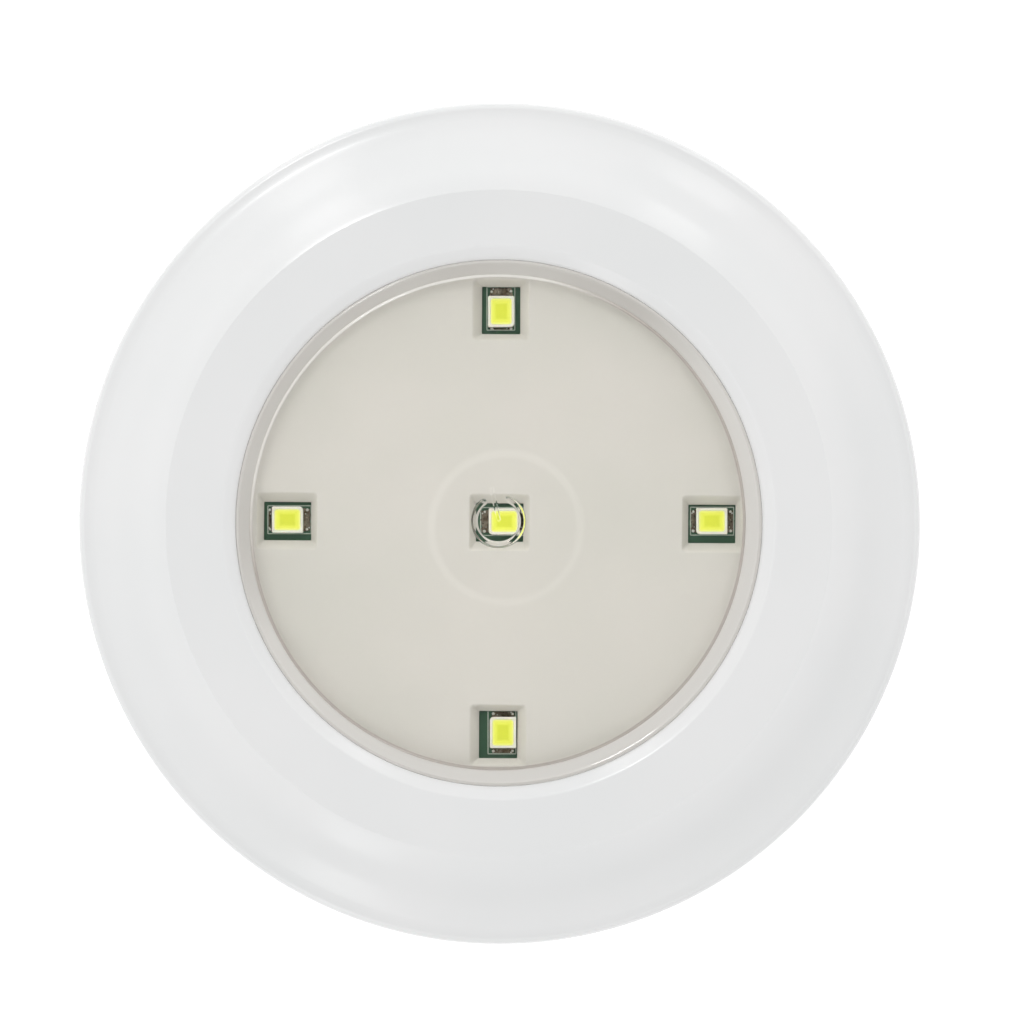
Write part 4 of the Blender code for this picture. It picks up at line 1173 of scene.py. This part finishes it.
    def skirt(self) -> list[tuple[Radius, float]]:
        """Lays out the skirt with its flange and beads, and the inside up to the face.

        Returns:
            Each row's radius and height, from the round edge down, inwards and up.
        """
        levels: list[tuple[Radius, float]] = [(self.radius, self.flange_top)]
        levels += [(self.flange_radius, self.flange_top), (self.flange_radius, self.flange_bottom)]
        levels += [(self.skirt_inner, self.flange_bottom), (self.skirt_inner, self.bead_bottom)]
        levels += [(self.inside_radius, (self.bead_top + self.bead_bottom) / 2)]
        levels += [(self.inside_radius, self.bead_top), (self.skirt_inner, self.bead_top)]
        centre = (self.skirt_inner - self.skirt_round, self.underside - self.skirt_round)
        return levels + arc(centre, self.skirt_round, 0.0, 90.0, self.skirt_steps)

    def build(self) -> bpy.types.Object:
        """Makes the cap.

        Returns:
            The cap's object.
        """
        mesher = Mesher("clear_cap")
        spokes = self.spokes()
        rows = self.face_rows(mesher, spokes)
        mesher.loft(rows, CapZone.FACE, (False, False))
        middle = (0.0, 0.0)
        # The groove gets the painted shade line, and the lip gets the border with its painted light and
        # shade.
        for zone, levels, centre in ((CapZone.SHADE_LINE, self.groove(), self.border_shift),
                                     (CapZone.BORDER, self.lip(), middle),
                                     (CapZone.EDGE, self.round_edge(), middle),
                                     (CapZone.FACE, self.skirt(), middle)):
            rows = rows[-1:] + [mesher.ring(radius, height, spokes, centre) for radius, height in levels]
            mesher.loft(rows, zone, (False, False))
        mesher.span(rows[-1], mesher.row([(*middle, self.underside)]), finish=CapZone.FACE)
        cap = mesher.place("light_engine", [Palette.LENS, Palette.BORDER, Palette.SHADE_LINE, Palette.EDGE],
                           ["lens_cap"], sharp=30.0)
        cap.visible_shadow = False
        return cap


@dataclass
class LampPlace:
    """Where one lamp and its window are.

    Attributes:
        name: The lamp's name.
        ring: Distance of its window from the middle.
        heading: Direction of the window and of the lamp's length, in degrees.
        drift: How far the lamp stands from the middle of its window.
        slip: How far the lamp has slipped from the middle of its pads.
    """

    name: str
    ring: float
    heading: float
    drift: Flat
    slip: Flat

    def window(self) -> Flat:
        """Returns the middle of the window."""
        return polar(self.ring, self.heading)

    def lamp(self) -> Flat:
        """Returns the middle of the lamp."""
        return self.window()[0] + self.drift[0], self.window()[1] + self.drift[1]

    def moved(self, outline: Sequence[Flat]) -> list[Flat]:
        """Turns an outline to the lamp's heading and moves it to the lamp.

        Args:
            outline: The outline about the origin, with the lamp's length along X.

        Returns:
            The outline on the board.
        """
        turn = math.radians(self.heading)
        middle = self.lamp()
        cos, sin = math.cos(turn), math.sin(turn)
        return [(middle[0] + x * cos - y * sin, middle[1] + x * sin + y * cos) for x, y in outline]


LAMPS = (
    LampPlace("centre", 0.0, 0.0, (0.53, 0.17), (0.22, 0.0)),
    LampPlace("left", 21.6, 180.0, (0.06, 0.35), (-0.17, 0.0)),
    LampPlace("right", 21.6, 0.0, (0.05, 0.2), (-0.05, 0.0)),
    LampPlace("top", 21.6, 90.0, (0.22, -0.06), (0.04, -0.33)),
    LampPlace("bottom", 21.6, 270.0, (0.4, 0.29), (0.11, 0.0)),
)


@dataclass
class WindowPlate:
    """The warm grey plate under the cap, with a flared window at each lamp and legs that grip the board."""

    top: float = 26.1
    bottom: float = 24.9
    radius: float = 25.14
    edge: float = 0.06
    edge_steps: int = 5
    turn: float = -0.4
    shift: Flat = (0.06, 0.06)
    window_length: float = 4.8
    window_width: float = 3.9
    length_flare: float = 1.45
    width_flare: float = 1.98
    wall_levels: tuple[Flat, ...] = (
        (0.0, 0.0), (0.05, 0.03), (0.2, 0.16), (0.4, 0.34), (0.6, 0.52), (0.75, 0.66),
        (0.86, 0.77), (0.94, 0.86), (0.985, 0.95), (1.0, 1.0), (1.0, 1.03))
    corner: float = 0.08
    corner_flare: float = 0.32
    corner_steps: int = 8
    waver: float = 0.035
    waver_pitch: float = 1.3
    crease: float = 0.02
    sides: int = 224
    leg_angles: tuple[float, ...] = (45.0, 135.0, 225.0, 315.0)
    leg_half: float = 2.0
    leg_inner: float = 22.8
    leg_outer: float = 24.2
    leg_bite: float = 0.2
    foot_inner: float = 21.5
    foot_bottom: float = 22.4
    foot_top: float = 23.1
    barb_outer: float = 24.85
    barb_bottom: float = 23.7
    barb_top: float = 24.4

    def window_rows(self, mesher: Mesher, lamp: LampPlace) -> list[Row]:
        """Lays out one window's wall, from a crisp bottom edge up to a soft lip.

        Args:
            mesher: The plate's mesh.
            lamp: The lamp that the window shows.

        Returns:
            The rows, from the bottom upwards.
        """
        rows = []
        middle = Vector((*lamp.window(), self.bottom))
        heading = Matrix.Rotation(math.radians(lamp.heading), 3, "Z")
        for rise, flare in self.wall_levels:
            length = self.window_length + self.length_flare * flare
            width = self.window_width + self.width_flare * flare
            corner = self.corner + self.corner_flare * flare
            height = (self.top - self.bottom) * rise
            points = []
            for x, y in round_oblong(length, width, [corner], self.corner_steps):
                spot = Vector((x * self.waver_pitch, y * self.waver_pitch, lamp.heading + lamp.ring))
                stretch = 1 + self.waver * noise.noise(spot) / math.hypot(x, y)
                points.append(heading @ Vector((x * stretch, y * stretch, height)) + middle)
            rows.append(mesher.row(points))
        return rows

    def add_leg(self, mesher: Mesher, angle: float) -> None:
        """Adds a snap leg with its foot under the board and its barb on a bead of the cap's skirt.

        Args:
            mesher: The plate's mesh.
            angle: Where the leg stands, in degrees.
        """
        middle = (self.barb_bottom + self.barb_top) / 2
        outline = [(self.foot_inner, self.foot_bottom), (self.leg_outer, self.foot_bottom)]
        outline += [(self.leg_outer, self.barb_bottom), (self.barb_outer, self.barb_bottom)]
        outline += [(self.barb_outer, middle), (self.leg_outer, self.barb_top)]
        outline += [(radius, self.bottom + self.leg_bite) for radius in (self.leg_outer, self.leg_inner)]
        outline += [(self.leg_inner, self.foot_top), (self.foot_inner, self.foot_top)]
        turn = Matrix.Rotation(math.radians(angle), 3, "Z")
        mesher.loft([mesher.row([turn @ Vector((radius, side, height)) for radius, height in outline])
                     for side in (-self.leg_half, self.leg_half)])

    def build(self) -> bpy.types.Object:
        """Makes the plate.

        Returns:
            The plate's object.
        """
        mesher = Mesher("window_screen")
        windows = [self.window_rows(mesher, lamp) for lamp in LAMPS]
        for rows in windows:
            mesher.loft(rows, caps=(False, False))
        rim_centre = (-self.shift[0], -self.shift[1])
        shoulder = self.radius - self.edge
        profile = [(shoulder, self.bottom), (self.radius, self.bottom + self.edge)]
        profile += arc((shoulder, self.top - self.edge), self.edge, 0.0, 90.0, self.edge_steps)
        profile += [(shoulder - self.crease, self.top)]
        rim = mesher.turned(profile, even_angles(self.sides), rim_centre)
        mesher.fill([rim[-1]] + [rows[-1] for rows in windows])
        mesher.fill([rim[0]] + [rows[0] for rows in windows])
        for angle in self.leg_angles:
            self.add_leg(mesher, angle - self.turn)
        turn = Matrix.Rotation(math.radians(self.turn), 3, "Z")
        bmesh.ops.rotate(mesher.mesh, verts=mesher.mesh.verts, matrix=turn)
        bmesh.ops.translate(mesher.mesh, verts=mesher.mesh.verts, vec=(*self.shift, 0.0))
        return mesher.place("light_engine", [Palette.SCREEN], ["window_plate"], sharp=40.0)


@dataclass
class Lamp:
    """One LED package: a white body with a well, and the phosphor in the well.

    Each row of shoulder and of well_lip is an inset and a drop below the top. The phosphor's root is an
    inset and a rise above the well's floor.
    """

    place: LampPlace
    length: float = 3.2
    width: float = 2.7
    bottom: float = 24.7
    top: float = 25.45
    corners: tuple[float, ...] = (0.14, 0.14, 0.42, 0.14)
    shoulder: tuple[Flat, ...] = ((0.02, 0.06), (0.04, 0.015), (0.07, 0.0))
    well_lip: tuple[Flat, ...] = ((-0.03, 0.0), (0.0, 0.02))
    well_draft: float = 0.12
    well_wall: float = 0.25
    well_floor: float = 25.1
    well_corner: float = 0.32
    least_corner: float = 0.05
    fill_top: float = 25.40
    fill_root: Flat = (0.14, 0.02)
    fill_dip: float = 0.05
    dip_share: float = 0.5
    fill_edge: float = 0.035
    fill_core: float = 0.12
    fill_steps: int = 14
    wall_share: float = 0.28
    die_half: float = 0.76
    die_blur: Flat = (0.12, 0.16)

    def body_outline(self, inset: float) -> list[Flat]:
        """Lays out the body's outline, with its marked corner, drawn in by an inset."""
        size = (self.length - 2 * inset, self.width - 2 * inset)
        return self.place.moved(round_oblong(*size, self.corners))

    def well_outline(self, inset: float) -> list[Flat]:
        """Lays out the well's outline.

        Args:
            inset: How far it is drawn in from the well's upper edge.

        Returns:
            The outline on the board.
        """
        reach = self.well_wall + inset
        corner = max(self.well_corner - inset, self.least_corner)
        size = (self.length - 2 * reach, self.width - 2 * reach)
        return self.place.moved(round_oblong(*size, [corner]))

    def build_body(self) -> bpy.types.Object:
        """Makes the white body, with a soft round at the top and at the well's edge.

        Returns:
            The body's object.
        """
        mesher = Mesher(f"led_body_{self.place.name}")
        outside = [(0.0, self.bottom)] + [(inset, self.top - drop) for inset, drop in self.shoulder]
        well = [(inset, self.top - drop) for inset, drop in self.well_lip]
        well += [(self.well_draft, self.well_floor)]
        rows = [mesher.level(self.body_outline(inset), height) for inset, height in outside]
        rows += [mesher.level(self.well_outline(inset), height) for inset, height in well]
        mesher.loft(rows)
        return mesher.place("light_engine", [Palette.LED_BODY], [f"led_package_{self.place.name}"])

    def build_phosphor(self) -> bpy.types.Object:
        """Makes the phosphor, which dips a little in the middle and climbs the wall.

        Returns:
            The phosphor's object.
        """
        mesher = Mesher(f"led_fill_{self.place.name}")
        over_die, at_wall = (mesher.mesh.verts.layers.float.new(name) for name in PHOSPHOR_DEPTHS)
        inset, rise = self.fill_root
        rows = [mesher.level(self.well_outline(inset), self.well_floor + rise)]
        middle = self.place.lamp()
        inner, outer = self.die_half - self.die_blur[0], self.die_half + self.die_blur[1]
        for step in range(self.fill_steps + 1):
            share = step / self.fill_steps
            inset = self.fill_edge + share * (self.width / 2 - self.well_wall - self.fill_core)
            height = self.fill_top - self.fill_dip * soft_step(share, 0.0, self.dip_share)
            rows.append(mesher.level(self.well_outline(inset), height))
            for point in rows[-1]:
                from_middle = max(abs(point.co.x - middle[0]), abs(point.co.y - middle[1]))
                point[over_die] = 1 - soft_step(from_middle, inner, outer)
                point[at_wall] = 1 - soft_step(share, 0.0, self.wall_share)
        mesher.loft(rows)
        return mesher.place("light_engine", [Palette.PHOSPHOR], [f"led_phosphor_{self.place.name}"])


class SolderZone(IntEnum):
    """The finishes of the solder's mesh, by number."""

    SOLDER = 0
    GLINT_SPECKS = 1


@dataclass
class LampPads:
    """What shows at one lamp's pads: solder with pale specks that are painted glints, and a printed
    outline.

    Attributes:
        lamp: The lamp.
        pad_reach: How far the pads come out past a lamp that hasn't slipped.
        solder_level: Height of the solder at the pad's edge.
        solder_climb: How much higher it stands at the body.
        solder_curve: How steeply it falls away from the body.
        solder_bite: How far it goes into the body's end.
        solder_margin: How much narrower than the body it is.
        solder_taper: How much narrower still it is at the pad's edge.
        solder_grid: Number of its faces outwards and across.
        lump_pitch: How many lumps it has in a millimetre across, and outwards in its length.
        lump_seed: How far apart in the noise the two ends are read.
        lump_reach: How much of its length the lumps add.
        lump_height: How high the lumps are.
        speck_level: Height of the middles of the painted glint specks.
        specks: Each speck's place across and outwards, as shares, and its radius.
        speck_steps: Chords of a speck from its foot to its top.
        speck_sides: Chords round a speck.
        print_reach: Half the length and half the width of the printed outline.
        print_line: Half the width of its stroke.
        print_levels: Heights of its bottom and its top.
    """

    lamp: Lamp
    pad_reach: float = 0.55
    solder_level: float = 24.63
    solder_climb: float = 0.34
    solder_curve: float = 1.7
    solder_bite: float = 0.02
    solder_margin: float = 0.35
    solder_taper: float = 0.2
    solder_grid: tuple[int, int] = (8, 22)
    lump_pitch: Flat = (3.1, 2.0)
    lump_seed: float = 4.0
    lump_reach: float = 0.25
    lump_height: float = 0.03
    speck_level: float = 24.76
    specks: tuple[Point, ...] = (
        (-0.37, 0.55, 0.15), (0.36, 0.5, 0.13), (0.3, 0.8, 0.08), (-0.22, 0.3, 0.07))
    speck_steps: int = 5
    speck_sides: int = 14
    print_reach: Flat = (2.2, 1.42)
    print_line: float = 0.045
    print_levels: Flat = (24.6, 24.625)

    def solder_point(self, end: int, reach: float, outwards: float, across: float) -> Point:
        """Finds one point of the solder, which is lumpy, high at the body and thin at the pad's edge.

        Args:
            end: 1 or -1, the end of the lamp's length.
            reach: How far the pad comes out.
            outwards: Place from the body, at 0, to the pad's edge, at 1.
            across: Place across the pad, from -0.5 to 0.5.

        Returns:
            The point.
        """
        place = self.lamp.place
        side = across * (self.lamp.width - self.solder_margin - self.solder_taper * outwards)
        seed = end * self.lump_seed + place.heading
        lump = noise.noise(Vector((side * self.lump_pitch[0], outwards * self.lump_pitch[1], seed)))
        out = self.lamp.length / 2 - self.solder_bite + outwards * reach * (1 + self.lump_reach * lump)
        rise = self.solder_climb * (1 - outwards) ** self.solder_curve
        lumps = self.lump_height * lump * (1 - outwards)
        return *place.moved([(end * out, side)])[0], self.solder_level + rise + lumps

    def add_solder(self, mesher: Mesher, end: int) -> None:
        """Adds the solder and the painted glint specks at one end.

        Args:
            mesher: The solder's mesh.
            end: 1 or -1, the end of the lamp's length.
        """
        place = self.lamp.place
        heading = polar(end, place.heading)
        reach = self.pad_reach - heading[0] * place.slip[0] - heading[1] * place.slip[1]
        long, wide = self.solder_grid
        rows = [mesher.row([self.solder_point(end, reach, step / long, number / wide - 0.5)
                            for number in range(wide + 1)]) for step in range(long + 1)]
        for first, second in zip(rows, rows[1:]):
            mesher.span(first, second, closed=False, finish=SolderZone.SOLDER)
        for across, out, size in self.specks:
            spot = (end * (self.lamp.length / 2 + out * reach), across * self.lamp.width)
            dome = arc((0.0, self.speck_level), size, 0.0, 90.0, self.speck_steps)
            spokes = even_angles(self.speck_sides)
            mesher.turned(dome, spokes, place.moved([spot])[0], finish=SolderZone.GLINT_SPECKS)

    def add_print(self, mesher: Mesher) -> None:
        """Adds the printed outline round the lamp's pads, in four strokes.

        Args:
            mesher: The print's mesh.
        """
        far, half = self.print_reach
        line = self.print_line
        place = self.lamp.place
        corners = ((-1, -1), (1, -1), (1, 1), (-1, 1))
        for x, y, reach_x, reach_y in ((far, 0.0, line, half), (-far, 0.0, line, half),
                                       (0.0, half, far, line), (0.0, -half, far, line)):
            stroke = place.moved([(x + side * reach_x, y + rise * reach_y) for side, rise in corners])
            stroke = [(spot[0] - place.slip[0], spot[1] - place.slip[1]) for spot in stroke]
            mesher.loft([mesher.level(stroke, height) for height in self.print_levels])


class TrackZone(IntEnum):
    """The tracks' finishes, by number."""

    MASK = 0
    TINNED = 1


@dataclass
class Tracks:
    """The copper tracks between the lamps, under the board's mask, and the tinned pads through it."""

    ring: float = 12.0
    half: float = 0.3
    sides: int = 160
    bottom: float = 24.59
    top: float = 24.616
    line_top: float = 24.61
    lamp_end: float = 1.9
    pad_angles: tuple[float, ...] = (45.0, 135.0, 225.0, 315.0)
    pad_hole: float = 0.2
    pad_outer: float = 0.55
    pad_slope: float = 0.05
    pad_rises: Flat = (0.01, 0.03)
    pad_sides: int = 32

    def build(self) -> bpy.types.Object:
        """Makes the tracks: a ring, and a straight line to each lamp's inner end.

        Returns:
            The tracks' object.
        """
        mesher = Mesher("board_tracks")
        inner, outer = self.ring - self.half, self.ring + self.half
        profile = [(inner, self.bottom), (outer, self.bottom), (outer, self.top), (inner, self.top)]
        mesher.turned(profile, even_angles(self.sides), looped=True, finish=TrackZone.MASK)
        for lamp in LAMPS[1:]:
            start = self.lamp_end if lamp.heading % 180.0 == 0.0 else self.ring
            low = (start, -self.half, self.bottom)
            high = (lamp.ring - self.lamp_end, self.half, self.line_top)
            mesher.block(low, high, lamp.heading, TrackZone.MASK)
        low, high = (self.top + rise for rise in self.pad_rises)
        pad = [(self.pad_hole, self.bottom), (self.pad_outer, self.bottom)]
        pad += [(self.pad_outer, low), (self.pad_hole + self.pad_slope, high)]
        for angle in self.pad_angles:
            centre = polar(self.ring, angle)
            mesher.turned(pad, even_angles(self.pad_sides), centre, looped=True, finish=TrackZone.TINNED)
        return mesher.place("light_engine", [Palette.TRACK, Palette.SOLDER])


@dataclass
class LampBoard:
    """The green board's dressing: the tracks, the lamps, their solder and the print."""

    places: tuple[LampPlace, ...] = LAMPS

    def build(self, nodes: Nodes) -> None:
        """Dresses the board and makes what stands on it.

        Args:
            nodes: The frame's nodes.
        """
        dress(nodes, ["led_board"], Palette.BOARD)
        Tracks().build()
        solder = Mesher("lamp_solder")
        print_lines = Mesher("board_print")
        for place in self.places:
            lamp = Lamp(place)
            lamp.build_body()
            lamp.build_phosphor()
            pads = LampPads(lamp)
            for end in (-1, 1):
                pads.add_solder(solder, end)
            pads.add_print(print_lines)
        solder.place("light_engine", [Palette.SOLDER, Palette.GLINT_SPECKS])
        print_lines.place("light_engine", [Palette.PRINT])


@dataclass
class Internals:
    """The pieces inside the head and behind it, which keep their CAD shapes and get fine rounds."""

    plate_edge: float = 0.15
    tray_edge: float = 0.1
    contact_edge: float = 0.03
    switch_edge: float = 0.08

    def build(self, nodes: Nodes) -> None:
        """Dresses them.

        Args:
            nodes: The frame's nodes.
        """
        numbers = range(1, 6)
        dress(nodes, ["mounting_plate"], Palette.MOUNTING, self.plate_edge)
        dress(nodes, ["battery_tray"], Palette.TRAY, self.tray_edge)
        dress(nodes, [f"case_screw_{number}" for number in numbers[:3]], Palette.SCREW)
        dress(nodes, [f"battery_cell_{number}" for number in numbers[:3]], Palette.JACKET)
        plates = ["contact_positive", "contact_link_upper", "contact_link_lower", "contact_negative"]
        dress(nodes, plates, Palette.NICKEL, self.contact_edge)
        dress(nodes, [f"contact_spring_{number}" for number in numbers[:3]], Palette.NICKEL)
        dress(nodes, [f"chip_resistor_{number}" for number in numbers], Palette.RESISTOR)
        dress(nodes, ["switch_case"], Palette.SWITCH_BODY, self.switch_edge)
        dress(nodes, ["switch_cover"], Palette.SWITCH_STEEL, self.contact_edge)
        dress(nodes, ["switch_plunger"], Palette.PLUNGER)
        dress(nodes, ["lead_red"], Palette.RED_LEAD)
        dress(nodes, ["lead_black"], Palette.BLACK_LEAD)


def facing(right: Vector, up: Vector, back: Vector) -> Euler:
    """Returns the rotation of an object that has these axes and looks away from the last."""
    return Matrix((right, up, back)).transposed().to_euler()


@dataclass
class Softbox:
    """A soft studio light.

    Attributes:
        name: Its name.
        azimuth: Its direction round the light, in degrees from +X.
        distance: How far from the axis it stands, in metres.
        height: How far above the floor it stands, in metres.
        size: Its length towards the axis and its width, in metres.
        radiance: How bright its face is.
    """

    name: str
    azimuth: float
    distance: float
    height: float
    size: Flat
    radiance: float

    def build(self) -> None:
        """Makes the light and turns its face to the puck light."""
        data = bpy.data.lights.new(self.name, "AREA")
        data.shape = "RECTANGLE"
        data.size, data.size_y = self.size
        data.energy = self.radiance * math.pi * self.size[0] * self.size[1]
        light = add_object(self.name, data)
        light.location = (*polar(self.distance, self.azimuth), self.height)
        towards = -light.location.normalized()
        side = Vector((0.0, 0.0, 1.0)).cross(towards).normalized()
        light.rotation_euler = facing(side.cross(towards).normalized(), side, -towards)
        log.info("%s stands at %.0f degrees", self.name, self.azimuth)


@dataclass
class Studio:
    """The floor, the room, the lights and the camera."""

    floor_radius: float = 900.0
    floor_level: float = -0.05
    floor_sides: int = 96
    floor_patch: float = 2.0
    floor_tone: Flat = (0.88, 0.92)
    floor_roughness: float = 0.9
    floor_glow: float = 0.36
    camera_place: Point = (10.9, -5.8, 1020.0)
    camera_target: Point = (1.30, 1.14, 24.0)
    focal_length: float = 344.0
    sensor_width: float = 36.0
    clip: Flat = (0.05, 20.0)
    room_light: float = 0.96
    ceiling_light: float = 0.04
    ceiling_edge: Flat = (14.0, 26.0)
    horizon_light: float = 0.6
    horizon_edge: Flat = (3.0, 14.0)
    softboxes: list[Softbox] = field(default_factory=lambda: [
        Softbox("window_softbox", 120.0, 0.73, 0.45, (0.85, 0.17), 1.6),
        Softbox("window_core", 120.0, 0.48, 0.72, (0.14, 0.12), 13.0),
        Softbox("fill_softbox_right", 60.0, 0.73, 0.45, (0.6, 0.16), 1.6),
        Softbox("fill_softbox_lower", 245.0, 0.73, 0.45, (0.6, 0.16), 1.6),
    ])

    def build_floor(self) -> None:
        """Makes the pale floor that the light lies on."""
        mesher = Mesher("studio_floor")
        profile = [(radius, self.floor_level) for radius in (0.0, self.floor_radius)]
        mesher.turned(profile, even_angles(self.floor_sides))
        bench = Bench("pale_paper")
        paper = bench.spread(bench.noise(self.floor_patch, detail=3.0), *self.floor_tone)
        for name, value in (("Base Color", paper), ("Roughness", self.floor_roughness),
                            ("Emission Color", WHITE), ("Emission Strength", self.floor_glow)):
            bench.feed(bench.shader.inputs[name], value)
        floor = mesher.settle([bench.material])

    def build_camera(self) -> None:
        """Makes the camera, which looks almost straight down on the light's face."""
        data = bpy.data.cameras.new("photo_camera")
        data.lens = self.focal_length
        data.sensor_width = self.sensor_width
        data.clip_start, data.clip_end = self.clip
        camera = add_object("photo_camera", data)
        place, target = Vector(self.camera_place) * MM, Vector(self.camera_target) * MM
        back = (place - target).normalized()
        right = Vector((0.0, 1.0, 0.0)).cross(back).normalized()
        camera.location = place
        camera.rotation_euler = facing(right, back.cross(right), back)
        bpy.context.scene.camera = camera

    def build_room(self) -> None:
        """Makes the even light of the room, dim round the camera and towards the horizon."""
        world = bpy.data.worlds.new("white_room")
        layout = Layout(world, "Generated")
        height = layout.axes()["Z"]
        near, far = (math.cos(math.radians(angle)) for angle in self.ceiling_edge)
        low, high = (math.sin(math.radians(angle)) for angle in self.horizon_edge)
        ceiling = layout.spread(height, self.room_light, self.ceiling_light, far, near, "SMOOTHSTEP")
        horizon = layout.spread(height, self.horizon_light, 1.0, low, high, "SMOOTHSTEP")
        room = layout.tree.nodes["Background"]
        layout.feed(room.inputs["Color"], WHITE)
        layout.feed(room.inputs["Strength"], layout.sum(ceiling, horizon, "MULTIPLY"))
        bpy.context.scene.world = world

    def build(self) -> None:
        """Sets up the whole studio."""
        view = bpy.context.scene.view_settings
        view.view_transform = "Standard"
        view.look = "None"
        self.build_room()
        self.build_floor()
        self.build_camera()
        for softbox in self.softboxes:
            softbox.build()


def main() -> None:
    """Dresses the light in order."""
    logging.basicConfig(level=logging.INFO, format="%(name)s: %(message)s")
    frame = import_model()
    nodes = frame["nodes"]
    Bezel().build()
    LensCap().build()
    WindowPlate().build()
    LampBoard().build(nodes)
    Internals().build(nodes)
    Studio().build()


if __name__ == "__main__":
    main()
